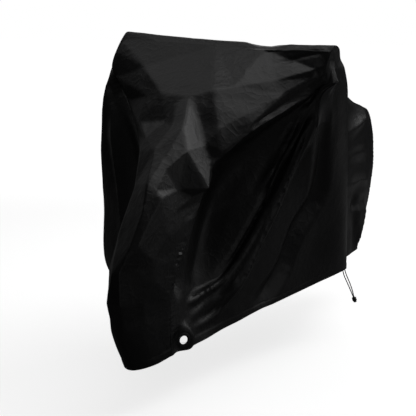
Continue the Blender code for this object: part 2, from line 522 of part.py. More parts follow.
def eyelet_patch(name, panel, centre, facing):
    """The patch in a panel's notch: flat round its hole, and meeting the panel at its outline."""
    axis = unit(facing)
    centre = np.array(centre)
    outline = ([(0, j) for j in range(PATCH_COLUMNS)]
               + [(i, PATCH_COLUMNS) for i in range(PATCH_ROWS)]
               + [(PATCH_ROWS, j) for j in range(PATCH_COLUMNS, 0, -1)]
               + [(i, 0) for i in range(PATCH_ROWS, 0, -1)])
    slide = panel.slide.copy()
    forward = unit(panel.outer[0, PATCH_COLUMNS - 1] - panel.outer[0, PATCH_COLUMNS])
    down = unit(panel.outer[PATCH_ROWS - 1, 0] - panel.outer[PATCH_ROWS, 0])
    slide[:PATCH_ROWS + 1, PATCH_COLUMNS] += forward * SEAM_GAP / 2
    slide[PATCH_ROWS, :PATCH_COLUMNS + 1] += down * SEAM_GAP / 2
    face, back = panel.outer + slide, panel.inner() + slide
    outer_loop, inner_loop = [], []
    for k, place in enumerate(outline):
        after = outline[(k + 1) % len(outline)]
        outer_loop += [face[place], (face[place] + face[after]) / 2]
        inner_loop += [back[place], (back[place] + back[after]) / 2]
    count = len(outer_loop)
    first = outer_loop[0] - centre
    first = unit(first - axis * (first @ axis))
    turn = math.tau / count
    if np.cross(first, outer_loop[1] - centre) @ axis < 0.0:
        turn = -turn
    outer, inner = {}, {}
    for k in range(count):
        outer[0, k], inner[0, k] = outer_loop[k], inner_loop[k]
        spoke = first * math.cos(turn * k) + np.cross(axis, first) * math.sin(turn * k)
        rim = centre + spoke * EYELET_FLAT
        outer[1, k] = mixed(outer_loop[k], rim, 0.55)
        inner[1, k] = mixed(inner_loop[k], rim - axis * CLOTH, 0.55)
        for ring, radius in ((2, EYELET_FLAT), (3, EYELET_HOLE)):
            outer[ring, k] = centre + spoke * radius
            inner[ring, k] = outer[ring, k] - axis * CLOTH
    cells = [((ring, k), (ring, (k + 1) % count), (ring + 1, (k + 1) % count), (ring + 1, k))
             for ring in range(3) for k in range(count)]
    return add_object(name, shell_mesh(name, outer, inner, cells), CLOTH_LOOK)


def turned_mesh(name, profile, turns):
    """A solid of revolution about +Z; a profile that starts and ends on the axis is closed there."""
    work = bmesh.new()
    verts = [work.verts.new((radius, 0.0, height)) for radius, height in profile]
    closed = profile[0][0] > 0.0
    edges = [work.edges.new(pair) for pair in zip(verts, verts[1:])]
    if closed:
        edges.append(work.edges.new((verts[-1], verts[0])))
    bmesh.ops.spin(work, geom=verts + edges, cent=(0, 0, 0), axis=(0, 0, 1), angle=math.tau,
                   steps=turns, use_merge=True)
    bmesh.ops.remove_doubles(work, verts=work.verts, dist=0.00001)
    return closed_mesh(bpy.data.meshes.new(name), work)


def eyelet_ring(name, centre, facing):
    """A two-lipped ring that grips the edge of the patch's hole."""
    barrel = EYELET_HOLE - SEAM_GAP
    face, back = SEAM_GAP, -CLOTH - SEAM_GAP
    profile = (
        (EYELET_BORE + 0.0008, face + EYELET_LIP),
        (EYELET_RIM - 0.0010, face + EYELET_LIP),
        (EYELET_RIM, face + EYELET_LIP / 2),
        (EYELET_RIM, face),
        (barrel, face),
        (barrel, back),
        (EYELET_RIM, back),
        (EYELET_RIM, back - EYELET_LIP / 2),
        (EYELET_RIM - 0.0010, back - EYELET_LIP),
        (EYELET_BORE + 0.0008, back - EYELET_LIP),
        (EYELET_BORE, back - EYELET_LIP / 2),
        (EYELET_BORE, face + EYELET_LIP / 2),
    )
    place = Matrix.Translation(Vector(centre) - Vector((0, 0, BAR_HEIGHT)))
    turn = Vector(facing).to_track_quat("Z", "Y").to_matrix().to_4x4()
    ring = add_object(name, turned_mesh(name, profile, EYELET_TURNS), RING_LOOK)
    ring.matrix_world = place @ turn
    return ring


def sewn_tape(name, panel):
    """The tape that lies on the near panel under the grip, a hair's breadth off the cloth."""
    outer, inner = {}, {}
    for i in range(TAPE_ROWS[0], TAPE_ROWS[1] + 1):
        for j in range(TAPE_COLUMNS[0], TAPE_COLUMNS[1] + 1):
            inner[i, j] = panel.outer[i, j] + panel.normals[i, j] * TAPE_CLEARANCE
            outer[i, j] = inner[i, j] + panel.normals[i, j] * TAPE
    cells = [((i, j), (i, j + 1), (i + 1, j + 1), (i + 1, j))
             for i in range(*TAPE_ROWS) for j in range(*TAPE_COLUMNS)]
    return add_object(name, shell_mesh(name, outer, inner, cells), TAPE_LOOK)


def drawcord(name, route):
    """One strand of the drawcord, a round tube along its route."""
    curve = bpy.data.curves.new(name, "CURVE")
    curve.dimensions = "3D"
    curve.bevel_depth = CORD_DIAMETER / 2
    curve.bevel_resolution = CORD_SIDES
    curve.use_fill_caps = True
    spline = curve.splines.new("POLY")
    spline.points.add(CORD_POINTS - 1)
    for point, place in zip(spline.points, sampled_curve(route, CORD_POINTS)):
        point.co = (place[0], place[1], place[2] - BAR_HEIGHT, 1.0)
    return add_object(name, curve, CORD_LOOK)


def toggle(name):
    """The barrel toggle at the drawcord's end: flat where the strands enter, round below."""
    flat = TOGGLE_RADIUS * 0.72
    profile = (
        (0.0, 0.0),
        (flat, 0.0),
        (TOGGLE_RADIUS, TOGGLE_LENGTH * 0.14),
        (TOGGLE_RADIUS, TOGGLE_LENGTH * 0.72),
        (TOGGLE_RADIUS * 0.80, TOGGLE_LENGTH * 0.93),
        (TOGGLE_RADIUS * 0.40, TOGGLE_LENGTH),
        (0.0, TOGGLE_LENGTH),
    )
    piece = add_object(name, turned_mesh(name, profile, TOGGLE_TURNS), TOGGLE_LOOK)
    place = Matrix.Translation(Vector(TOGGLE_TOP) - Vector((0, 0, BAR_HEIGHT)))
    piece.matrix_world = place @ Vector(TOGGLE_AXIS).to_track_quat("Z", "Y").to_matrix().to_4x4()
    return piece


# ---------------------------------------------------------------------------------------------
# Assembly
# ---------------------------------------------------------------------------------------------
def finish(look):
    """A plain material: its name, colour and roughness."""
    name, colour, roughness = look
    material = bpy.data.materials.get(name) or bpy.data.materials.new(name)
    material.use_nodes = True
    shader = material.node_tree.nodes["Principled BSDF"]
    shader.inputs["Base Color"].default_value = (*colour, 1.0)
    shader.inputs["Roughness"].default_value = roughness
    shader.inputs["Metallic"].default_value = 0.0
    return material


def add_object(name, data, look):
    """Put a mesh or a curve into the cover's collection, with its material."""
    data.materials.append(finish(look))
    piece = bpy.data.objects.new(name, data)
    bpy.data.collections[COLLECTION].objects.link(piece)
    return piece


def main():
    """Cut, fold and sew the panels, then fit the eyelets, the tape and the drawcord."""
    for leftover in list(bpy.data.objects):
        bpy.data.objects.remove(leftover, do_unlink=True)
    bpy.context.scene.collection.children.link(bpy.data.collections.new(COLLECTION))

    strip = strip_panel()
    panels = {"near": side_panel(1), "far": side_panel(-1)}
    sew(strip, panels["near"], 1)
    sew(strip, panels["far"], -1)

    panel_solid("long_strip", strip)
    for name, centre, facing in EYELETS:
        panel_solid(f"{name}_panel", panels[name], PATCH_COLUMNS, PATCH_ROWS)
        eyelet_patch(f"{name}_eyelet_patch", panels[name], centre, facing)
        eyelet_ring(f"{name}_eyelet", centre, facing)
    sewn_tape("grip_tape", panels["near"])
    for name, route in CORD_ROUTES:
        drawcord(name, route)
    toggle("cord_toggle")


main()
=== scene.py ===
"""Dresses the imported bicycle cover: folded cloth, seams, hems, eyelets, tape, drawcord and studio.

The cloth panels follow the same curves as the solids, on a much finer grid, and get their folds,
crumples, seam puckers and hems here. Lengths are in metres. Axes: +Z up, the front wheel at -Y, the
near side at +X. The tables give heights above the ground; the frame's origin is BAR_HEIGHT above it.
"""

import json
import logging
import math
from dataclasses import dataclass
from enum import Enum

import bpy
import numpy as np
from mathutils import Matrix, Vector
from mathutils.geometry import delaunay_2d_cdt

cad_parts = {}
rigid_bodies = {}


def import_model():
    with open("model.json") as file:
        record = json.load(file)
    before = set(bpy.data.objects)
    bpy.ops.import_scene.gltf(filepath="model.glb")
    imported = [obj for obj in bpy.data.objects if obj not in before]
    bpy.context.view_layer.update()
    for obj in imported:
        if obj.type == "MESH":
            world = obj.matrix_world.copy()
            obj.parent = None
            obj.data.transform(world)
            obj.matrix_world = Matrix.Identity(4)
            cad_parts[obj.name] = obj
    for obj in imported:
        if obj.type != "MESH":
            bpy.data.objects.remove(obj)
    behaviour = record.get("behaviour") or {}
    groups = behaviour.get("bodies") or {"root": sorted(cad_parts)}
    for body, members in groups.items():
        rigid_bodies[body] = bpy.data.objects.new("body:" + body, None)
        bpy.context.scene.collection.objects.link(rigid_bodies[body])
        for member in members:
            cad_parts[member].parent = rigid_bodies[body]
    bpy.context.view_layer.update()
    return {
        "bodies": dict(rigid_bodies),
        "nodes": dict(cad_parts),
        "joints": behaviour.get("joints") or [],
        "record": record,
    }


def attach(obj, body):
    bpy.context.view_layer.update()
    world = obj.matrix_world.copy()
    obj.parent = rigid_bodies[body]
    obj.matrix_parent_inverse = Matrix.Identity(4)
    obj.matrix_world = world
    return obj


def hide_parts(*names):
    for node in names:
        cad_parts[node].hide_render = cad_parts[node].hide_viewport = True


LOG = logging.getLogger("bicycle_cover")
Array = np.ndarray
Point = tuple[float, float, float]

# ---------------------------------------------------------------------------------------------
# Driving dimensions
# ---------------------------------------------------------------------------------------------
BAR_HEIGHT = 1.004           # the frame's origin, above the ground
BODY = "root"


class Panel(Enum):
    """The cover's three panels of cloth."""

    STRIP = "strip"
    NEAR = "near"
    FAR = "far"

    @property
    def seams(self) -> tuple[tuple[int, int], ...]:
        """Its sewn edges: the axis of the grid, and the first (0) or last (-1) row or column."""
        return ((1, 0), (1, -1)) if self is Panel.STRIP else ((1, 0), (0, -1), (1, -1))

    @property
    def hems(self) -> tuple[tuple[int, int], ...]:
        """Its hemmed edges, in the same way."""
        return ((0, 0), (0, -1)) if self is Panel.STRIP else ((0, 0),)


class Side(Enum):
    """The cover's two sides, as the sign of their X."""

    NEAR = 1
    FAR = -1

    @property
    def panel(self) -> Panel:
        """The panel on this side."""
        return Panel[self.name]


@dataclass(frozen=True)
class Section:
    """A section across the long strip; a bow of 1 is a round arch and 2 a flat one."""

    name: str
    far: Point
    middle: Point
    near: Point
    far_bow: float
    near_bow: float


@dataclass(frozen=True)
class SideLine:
    """A line up a side panel, from the hem to the top edge."""

    name: str
    top_station: float
    hem: Point
    low: Point
    mid: Point
    high: Point
    upper: Point
    grip: Point
    far_rows: tuple[Point, ...] = ()     # its points on the far side, where they are no mirror image

    def points(self, side: Side, width: float) -> list[Point]:
        """The line's points from the hem up, on one side.

        Args:
            side: the side of the cover.
            width: how far out the line stands, as a part of its distance on the near side.

        Returns:
            The six points below the top edge.
        """
        if side is Side.FAR and self.far_rows:
            return list(self.far_rows)
        rows = (self.hem, self.low, self.mid, self.high, self.upper, self.grip)
        return [(x * width * side.value, y, z) for x, y, z in rows]


@dataclass(frozen=True)
class Fold:
    """A ridge or, with a negative height, a trough along a path over the cloth."""

    path: tuple[Point, ...]
    half_width: float
    height: float
    crispness: float         # 0 for a round fold, 1 for one with a hard crease
    fade: float              # the part of its length over which each end dies out


STRIP_SECTIONS = (
    Section("front_hem", (-0.070, -0.470, 0.135), (0.014, -0.630, 0.124), (0.085, -0.520, 0.145), 1.2, 1.6),
    Section("front_low", (-0.075, -0.490, 0.230), (0.004, -0.677, 0.225), (0.090, -0.532, 0.240), 1.1, 1.6),
    Section("axle", (-0.078, -0.505, 0.345), (0.004, -0.708, 0.345), (0.094, -0.533, 0.330), 1.1, 1.6),
    Section("tyre", (-0.088, -0.470, 0.455), (0.028, -0.690, 0.455), (0.104, -0.475, 0.440), 1.2, 1.7),
    Section("knee", (-0.090, -0.345, 0.600), (0.040, -0.610, 0.580), (0.112, -0.358, 0.600), 1.2, 1.7),
    Section("elbow", (-0.115, -0.315, 0.675), (0.032, -0.525, 0.670), (0.132, -0.333, 0.675), 1.6, 1.6),
    Section("chest", (-0.190, -0.220, 0.765), (0.018, -0.390, 0.755), (0.200, -0.228, 0.760), 1.9, 1.7),
    Section("levers", (-0.305, -0.090, 0.860), (0.018, -0.240, 0.848), (0.300, -0.027, 0.853), 1.8, 1.8),
    Section("brow", (-0.355, -0.074, 0.930), (0.005, -0.110, 0.938), (0.344, -0.022, 0.930), 1.9, 1.9),
    Section("bar", (-0.345, 0.000, 1.032), (0.000, 0.000, 1.008), (0.362, 0.006, 0.998), 1.9, 1.9),
    Section("behind_bar", (-0.330, 0.060, 1.020), (0.000, 0.070, 1.000), (0.358, 0.066, 0.984), 1.9, 1.9),
    Section("top_slope", (-0.235, 0.220, 0.972), (0.000, 0.240, 0.972), (0.245, 0.225, 0.950), 1.8, 1.8),
    Section("saddle_nose", (-0.145, 0.420, 0.955), (0.000, 0.410, 0.980), (0.145, 0.425, 0.945), 1.7, 1.7),
    Section("saddle_back", (-0.125, 0.600, 0.925), (0.000, 0.600, 0.972), (0.130, 0.600, 0.915), 1.6, 1.6),
    Section("rear_slope", (-0.115, 0.765, 0.830), (0.000, 0.785, 0.868), (0.115, 0.755, 0.818), 1.7, 1.7),
    Section("shelf", (-0.108, 0.905, 0.772), (0.000, 0.925, 0.790), (0.112, 0.890, 0.764), 1.8, 1.8),
    Section("shelf_end", (-0.105, 1.075, 0.730), (0.000, 1.100, 0.742), (0.108, 1.060, 0.724), 1.7, 1.7),
    Section("rear_edge", (-0.105, 1.125, 0.655), (0.000, 1.180, 0.670), (0.108, 1.118, 0.650), 1.5, 1.5),
    Section("rear_mid", (-0.105, 1.150, 0.530), (0.000, 1.225, 0.530), (0.106, 1.142, 0.525), 1.3, 1.3),
    Section("rear_knee", (-0.102, 1.115, 0.400), (0.000, 1.195, 0.395), (0.104, 1.105, 0.395), 1.3, 1.3),
    Section("rear_low", (-0.100, 1.045, 0.280), (0.000, 1.115, 0.270), (0.100, 1.035, 0.275), 1.3, 1.3),
    Section("rear_hem", (-0.095, 0.995, 0.200), (0.000, 1.050, 0.185), (0.098, 0.990, 0.195), 1.3, 1.3),
)

# Rows of the side panels from the hem to the top edge: the strip's stations where each one starts in
# front and ends behind. The lines' points are given for all of these rows but the last
FRONT_STATIONS = (0.00, 1.75, 3.40, 4.95, 6.80, 7.75, 8.60)
REAR_STATIONS = (21.00, 19.80, 18.25, 17.30, 16.60, 16.30, 16.00)
TOP_CORNERS = (8.60, 16.00)
FAR_SIDE_WIDTH = 0.97

SIDE_LINES = (
    SideLine("hollow", 8.90, (0.098, -0.329, 0.151), (0.062, -0.308, 0.310), (0.048, -0.228, 0.490),
             (0.104, -0.182, 0.665), (0.268, -0.008, 0.825), (0.339, -0.010, 0.908),
             ((-0.150, -0.300, 0.150), (-0.165, -0.305, 0.310), (-0.180, -0.270, 0.490),
              (-0.195, -0.215, 0.665), (-0.330, -0.100, 0.828), (-0.363, -0.062, 0.912))),
    SideLine("pull_fold", 9.20, (0.115, -0.206, 0.165), (0.136, -0.165, 0.310), (0.175, -0.090, 0.500),
             (0.222, -0.003, 0.670), (0.299, 0.001, 0.830), (0.343, 0.000, 0.915),
             ((-0.268, -0.140, 0.185), (-0.352, -0.131, 0.310), (-0.363, -0.120, 0.490),
              (-0.370, -0.120, 0.670), (-0.372, -0.098, 0.830), (-0.374, -0.046, 0.915))),
    SideLine("tape_front", 9.50, (0.150, -0.031, 0.183), (0.182, 0.068, 0.310), (0.228, 0.093, 0.500),
             (0.270, 0.042, 0.680), (0.321, 0.010, 0.850), (0.349, 0.016, 0.922),
             ((-0.300, 0.000, 0.195), (-0.350, -0.045, 0.320), (-0.361, -0.045, 0.500),
              (-0.366, -0.050, 0.680), (-0.372, -0.040, 0.850), (-0.372, -0.014, 0.925))),
    SideLine("tape_back", 9.85, (0.190, 0.185, 0.203), (0.212, 0.215, 0.320), (0.257, 0.183, 0.500),
             (0.302, 0.121, 0.680), (0.345, 0.056, 0.860), (0.357, 0.048, 0.930),
             ((-0.275, 0.170, 0.210), (-0.322, 0.100, 0.320), (-0.342, 0.080, 0.500),
              (-0.352, 0.060, 0.680), (-0.364, 0.040, 0.860), (-0.362, 0.036, 0.935))),
    SideLine("wing", 10.40, (0.250, 0.433, 0.231), (0.266, 0.397, 0.330), (0.287, 0.345, 0.500),
             (0.312, 0.276, 0.680), (0.347, 0.176, 0.850), (0.361, 0.101, 0.932)),
    SideLine("lee", 11.20, (0.180, 0.610, 0.208), (0.190, 0.580, 0.330), (0.205, 0.530, 0.500),
             (0.220, 0.450, 0.670), (0.235, 0.350, 0.830), (0.262, 0.262, 0.900)),
    SideLine("saddle_drop", 13.00, (0.118, 0.780, 0.197), (0.125, 0.790, 0.330), (0.135, 0.770, 0.500),
             (0.140, 0.720, 0.670), (0.140, 0.640, 0.820), (0.136, 0.620, 0.872)),
    SideLine("rear_wheel", 14.60, (0.105, 0.890, 0.193), (0.128, 0.940, 0.320), (0.128, 0.975, 0.490),
             (0.122, 0.950, 0.640), (0.120, 0.880, 0.740), (0.116, 0.858, 0.768)),
)

MAIN_FOLDS = {
    Panel.NEAR: (
        # tension folds that fan from the near grip down to the eyelet
        Fold(((0.268, -0.010, 0.801), (0.208, -0.036, 0.670), (0.156, -0.096, 0.546)),
             0.028, 0.012, 0.7, 0.3),
        Fold(((0.318, 0.027, 0.842), (0.246, 0.016, 0.682), (0.200, -0.038, 0.544), (0.165, -0.115, 0.408),
              (0.131, -0.191, 0.296), (0.094, -0.280, 0.198)),
             0.036, 0.020, 0.8, 0.2),
        Fold(((0.210, -0.045, 0.600), (0.175, -0.122, 0.456), (0.114, -0.226, 0.317), (0.075, -0.335, 0.277),
              (0.073, -0.416, 0.267)),
             0.024, 0.011, 0.8, 0.25),
        Fold(((0.272, 0.005, 0.760), (0.191, -0.071, 0.551), (0.138, -0.173, 0.394), (0.078, -0.289, 0.244)),
             0.026, -0.012, 0.4, 0.3),
        Fold(((0.333, 0.027, 0.867), (0.301, 0.091, 0.733), (0.257, 0.160, 0.534), (0.209, 0.105, 0.417),
              (0.175, 0.060, 0.290), (0.137, -0.033, 0.222), (0.110, -0.160, 0.190)),
             0.060, -0.028, 0.2, 0.3),
        Fold(((0.339, 0.064, 0.834), (0.313, 0.120, 0.718), (0.271, 0.222, 0.511)),
             0.035, 0.006, 0.7, 0.4),
        Fold(((0.263, -0.014, 0.792), (0.121, -0.136, 0.646), (0.059, -0.188, 0.543), (0.043, -0.278, 0.374),
              (0.065, -0.387, 0.296)),
             0.070, -0.014, 0.3, 0.25),
        Fold(((0.110, -0.290, 0.660), (0.100, -0.350, 0.560), (0.088, -0.420, 0.460), (0.084, -0.455, 0.360),
              (0.083, -0.465, 0.280)),
             0.065, -0.034, 0.3, 0.25),
        Fold(((0.088, -0.430, 0.235), (0.095, -0.340, 0.245), (0.118, -0.240, 0.275), (0.150, -0.150, 0.340),
              (0.185, -0.080, 0.430)),
             0.050, 0.014, 0.3, 0.5),
        # short folds that gather at the near eyelet
        Fold(((0.085, -0.349, 0.190), (0.093, -0.259, 0.230), (0.131, -0.184, 0.273)),
             0.020, -0.004, 0.3, 0.4),
        Fold(((0.095, -0.380, 0.195), (0.087, -0.294, 0.205), (0.122, -0.194, 0.238)),
             0.018, 0.004, 0.5, 0.4),
        # the cloth bulges over the near grip, and its upper side catches the light
        Fold(((0.327, -0.045, 0.893), (0.344, -0.005, 0.895), (0.351, 0.040, 0.900)),
             0.064, 0.032, 0.9, 0.2),
        # the slack cloth over the rear wheel, near side
        Fold(((0.135, 0.740, 0.655), (0.123, 0.912, 0.690), (0.112, 1.050, 0.712)),
             0.060, 0.026, 1.0, 0.4),
        Fold(((0.133, 0.740, 0.560), (0.128, 0.920, 0.575), (0.117, 1.060, 0.560)),
             0.040, -0.010, 0.4, 0.4),
        Fold(((0.130, 0.760, 0.460), (0.130, 0.920, 0.475), (0.113, 1.050, 0.450)),
             0.036, 0.012, 0.9, 0.4),
        Fold(((0.127, 0.800, 0.380), (0.120, 0.950, 0.385), (0.110, 1.040, 0.370)),
             0.036, -0.010, 0.4, 0.4),
        Fold(((0.125, 0.860, 0.470), (0.120, 0.900, 0.330), (0.115, 0.930, 0.190)),
             0.050, -0.016, 0.4, 0.3),
        Fold(((0.125, 0.990, 0.420), (0.115, 0.985, 0.300), (0.105, 0.960, 0.180)),
             0.040, 0.012, 0.6, 0.3),
        Fold(((0.200, 0.520, 0.800), (0.170, 0.650, 0.550), (0.140, 0.740, 0.250)),
             0.070, -0.022, 0.2, 0.3),
    ),
    Panel.STRIP: (
        # the strip over the top and behind
        Fold(((0.060, 0.010, 1.010), (0.135, 0.020, 1.004), (0.220, 0.015, 1.004)),
             0.060, -0.012, 0.2, 0.4),
        Fold(((-0.240, 0.060, 1.020), (-0.090, 0.240, 0.985), (-0.010, 0.400, 0.980)),
             0.070, 0.014, 0.5, 0.3),
        Fold(((0.260, 0.060, 1.000), (0.110, 0.230, 0.980), (0.020, 0.400, 0.980)),
             0.070, 0.014, 0.5, 0.3),
        Fold(((-0.100, 0.690, 0.890), (0.000, 0.720, 0.905), (0.110, 0.690, 0.875)),
             0.060, -0.018, 0.3, 0.3),
        Fold(((-0.100, 0.860, 0.790), (0.000, 0.880, 0.810), (0.110, 0.850, 0.780)),
             0.045, -0.014, 0.4, 0.3),
        Fold(((0.060, 1.180, 0.640), (0.020, 1.220, 0.500), (0.050, 1.150, 0.300)),
             0.045, 0.014, 0.5, 0.3),
        Fold(((-0.050, 1.180, 0.620), (-0.060, 1.200, 0.450), (-0.020, 1.130, 0.280)),
             0.045, -0.014, 0.4, 0.3),
    ),
    Panel.FAR: (
        # the far side hangs in the same kind of folds, from the far grip
        Fold(((-0.345, -0.095, 0.830), (-0.280, -0.165, 0.660), (-0.215, -0.230, 0.480),
              (-0.150, -0.300, 0.300), (-0.115, -0.360, 0.210)),
             0.045, 0.020, 0.7, 0.2),
        Fold(((-0.360, -0.020, 0.850), (-0.352, 0.030, 0.660), (-0.335, 0.080, 0.450),
              (-0.290, 0.120, 0.250)),
             0.050, -0.018, 0.2, 0.2),
        Fold(((-0.345, 0.090, 0.850), (-0.325, 0.170, 0.620), (-0.280, 0.250, 0.400)),
             0.050, 0.012, 0.6, 0.3),
        Fold(((-0.195, 0.480, 0.800), (-0.165, 0.640, 0.550), (-0.140, 0.730, 0.250)),
             0.070, -0.022, 0.2, 0.3),
        Fold(((-0.130, 0.760, 0.690), (-0.118, 0.940, 0.680), (-0.108, 1.080, 0.650)),
             0.055, 0.018, 0.6, 0.3),
        Fold(((-0.128, 0.800, 0.590), (-0.122, 0.950, 0.560), (-0.108, 1.090, 0.540)),
             0.045, -0.020, 0.3, 0.3),
        Fold(((-0.125, 0.900, 0.450), (-0.118, 0.950, 0.320), (-0.105, 0.960, 0.190)),
             0.050, 0.014, 0.6, 0.3),
    ),
}


def flat_crease(stations: tuple[float, ...], across: tuple[float, ...]) -> tuple[Point, ...]:
    """Corners that stand neither in nor out, along stations of the strip or across it."""
    return tuple((station, part, 0.0) for station in stations for part in across)


# Creases between the facets of the strip in front, as corners from end to end. A corner is a station,
# a part of the way across, and how far it stands out. A crease with one corner is a lone dent or peak
FRONT_CREASES = (
    # the seams, the line over the bar and the line under the nose
    flat_crease((1.0, 1.8, 2.6, 3.6, 4.6, 5.6, 6.6, 7.6, 8.4, 9.2), (0.0,)),
    (*flat_crease((1.0, 1.8, 2.6, 3.2, 3.7), (1.0,)), (4.15, 1.00, 0.004), (4.60, 1.00, 0.010),
     (5.04, 1.00, 0.006), (5.40, 1.00, 0.008), (6.00, 1.00, 0.006), (6.50, 1.00, 0.004),
     *flat_crease((7.0, 7.6, 8.2, 8.7, 9.2), (1.0,))),
    flat_crease((9.2,), (0.0, 0.2, 0.5, 0.8, 1.0)),
    flat_crease((1.0,), (0.0, 0.2, 0.4, 0.6, 0.8, 1.0)),
    # the front edge of the bar
    ((8.75, 0.20, 0.0), (8.75, 0.48, 0.0), (8.65, 0.70, 0.0), (8.70, 0.94, 0.0)),
    # the ridge from the far grip to the apex, and the dents on its far side
    ((8.60, 0.03, 0.002), (7.90, 0.20, 0.007), (7.05, 0.34, 0.012), (6.94, 0.49, 0.018)),
    ((7.75, 0.12, -0.002), (6.95, 0.24, -0.002)),
    # the dark wedge under it
    ((7.05, 0.34, 0.012), (6.15, 0.13, -0.002)),
    ((6.80, 0.43, 0.004), (6.45, 0.39, -0.014), (5.80, 0.24, -0.007)),
    # the ridge from the apex to the near grip
    ((6.94, 0.49, 0.018), (7.10, 0.58, 0.022), (7.25, 0.66, 0.018), (7.55, 0.81, 0.008), (8.00, 0.96, 0.003)),
    # the two sides of the bright blade under the apex, and the end of the shade on its right
    ((6.94, 0.49, 0.018), (6.15, 0.57, 0.017), (5.50, 0.70, 0.005), (4.25, 0.93, 0.042)),
    ((6.94, 0.49, 0.018), (6.45, 0.60, -0.018), (5.85, 0.76, -0.028), (5.15, 0.97, -0.012),
     (4.25, 0.93, 0.042)),
    ((7.10, 0.58, 0.022), (6.20, 0.76, -0.004), (5.42, 0.95, 0.002)),
    # the broad facet under the near ridge, and the valley beside the seam
    ((6.25, 0.92, 0.004), (7.05, 0.875, 0.016), (7.70, 0.96, 0.010)),
    ((6.30, 0.94, -0.008), (6.75, 0.925, -0.008), (7.40, 0.975, -0.006)),
    # the long ridge down the nose, and the line where it turns to the right
    ((6.25, 0.47, 0.002), (5.55, 0.44, 0.003), (4.55, 0.51, 0.006), (3.85, 0.55, 0.005), (3.15, 0.55, 0.003),
     (2.50, 0.42, 0.000)),
    ((5.40, 0.56, 0.001), (4.40, 0.60, 0.002), (3.65, 0.64, 0.003), (3.25, 0.62, 0.003), (2.62, 0.52, 0.001)),
    # crumples over the wheel
    ((5.05, 0.62, -0.005), (4.30, 0.82, -0.012), (3.70, 0.83, -0.002), (3.75, 0.99, -0.002)),
    ((4.15, 0.67, 0.004), (3.35, 0.83, 0.004)),
    ((3.95, 0.92, 0.005),), ((3.45, 0.975, 0.003),), ((2.86, 0.80, 0.002),),
    # the column and the far half of the nose
    *((corner,) for corner in flat_crease((1.8,), (0.2, 0.4, 0.6, 0.8))),
    ((2.5, 0.20, 0.0),), ((2.5, 0.82, 0.002),), ((3.4, 0.25, 0.0),), ((4.4, 0.25, 0.0),), ((5.4, 0.22, 0.0),),
)
FACET_EDGE = 0.012           # the facets turn into the smooth surface over this distance from the seams

# Small folds that only the fine cloth can carry
DETAIL_FOLDS = {
    Panel.NEAR: (
        # hard creases along the tension folds of the near side
        Fold(((0.268, -0.010, 0.801), (0.208, -0.036, 0.670), (0.156, -0.096, 0.546)),
             0.018, 0.0060, 1.0, 0.3),
        Fold(((0.318, 0.027, 0.842), (0.246, 0.016, 0.682), (0.200, -0.038, 0.544), (0.165, -0.115, 0.408),
              (0.131, -0.191, 0.296), (0.094, -0.280, 0.198)),
             0.024, 0.0080, 0.6, 0.1),
        Fold(((0.210, -0.045, 0.600), (0.175, -0.122, 0.456), (0.114, -0.226, 0.317), (0.075, -0.335, 0.277),
              (0.073, -0.416, 0.267)),
             0.026, 0.0070, 0.6, 0.2),
        Fold(((0.339, 0.064, 0.834), (0.313, 0.120, 0.718), (0.271, 0.222, 0.511)),
             0.024, 0.0025, 0.5, 0.3),
        # creases that fan out from the near eyelet
        Fold(((0.102, -0.435, 0.195), (0.087, -0.294, 0.201), (0.122, -0.194, 0.235)),
             0.022, 0.0050, 0.5, 0.4),
        Fold(((0.090, -0.430, 0.210), (0.083, -0.340, 0.240), (0.105, -0.240, 0.290)),
             0.024, 0.0045, 0.5, 0.5),
    ),
    Panel.STRIP: (
        # streaks from the near grip over the front of the bar, and dents in the broad facet on top
        Fold(((0.189, -0.067, 0.949), (0.266, -0.026, 0.966), (0.348, -0.007, 0.982)),
             0.016, -0.0045, 0.8, 0.3),
        Fold(((0.200, -0.030, 0.985), (0.280, -0.012, 0.990), (0.350, 0.000, 0.993)),
             0.012, 0.0030, 0.8, 0.3),
        Fold(((0.154, -0.024, 0.985), (0.191, -0.108, 0.921)),
             0.012, 0.0025, 1.0, 0.2),
        Fold(((-0.052, -0.078, 0.963), (0.034, -0.123, 0.927)),
             0.020, 0.0020, 0.6, 0.3),
    ),
    Panel.FAR: (),
}

SEAM_CALM = 0.030            # the main folds die out over this distance from a seam
DETAIL_CALM = 0.008          # and the small ones over this one
FOLD_SAMPLES = 25
FOLD_REACH = 0.090           # a fold moves no cloth that lies further than this off its path
CLOTH = 0.0006               # thickness of the cloth
HEM_CLOTH = 0.0014           # thickness of the turned hem
HEM_WIDTH = 0.024            # width of the casing sewn along the hem
HEM_STEP = 0.004             # the cloth thickens to the casing over this distance
HEM_RISE = 0.0008            # how far the casing stands out
STITCH_GROOVE = 0.0007       # depth and width of the groove that the hem's stitches pull
STITCH_GROOVE_WIDTH = 0.0022
SEAM_DIP = 0.0010            # how far the two cloths dip into their seam
SEAM_DIP_WIDTH = 0.0035
PUCKER_PEAK = 0.011          # distance from a seam at which its puckers are highest
PUCKER_SPACING = (0.6, 1.4)  # least and most distance between two, as a part of the mean
PUCKER_STRENGTH = (0.25, 1.0)
PUCKER_LENGTH = (0.6, 1.6)
PUCKER_POINT = 0.8           # below 1 for a pointed crest
SPARE_MARKS = 8              # more puckers than fit on the mean, so that they reach the seam's end
GRIPS = ((0.360, 0.004, 0.990), (-0.345, 0.000, 1.020))    # the ends of the bar
GRIP_CALM = (0.04, 0.14)     # the seams lie smooth this near to a grip, and gather over the next stretch
TIGHT_SEAM = (0.105, -0.450, 0.480)    # middle of the stretch of the near seam that is gathered most
TIGHT_REACH = 0.150
TIGHT_GAIN = 1.8             # how much higher the puckers stand there
CREASE_BEND = 0.9            # how far a crumple's creases wander, in facets
BEND_SPACING = 1.7           # and over how many facets
CRUMPLE_SEEDS = {Panel.STRIP: 11, Panel.NEAR: 21, Panel.FAR: 31}

# ---------------------------------------------------------------------------------------------
# Curves and noise
# ---------------------------------------------------------------------------------------------


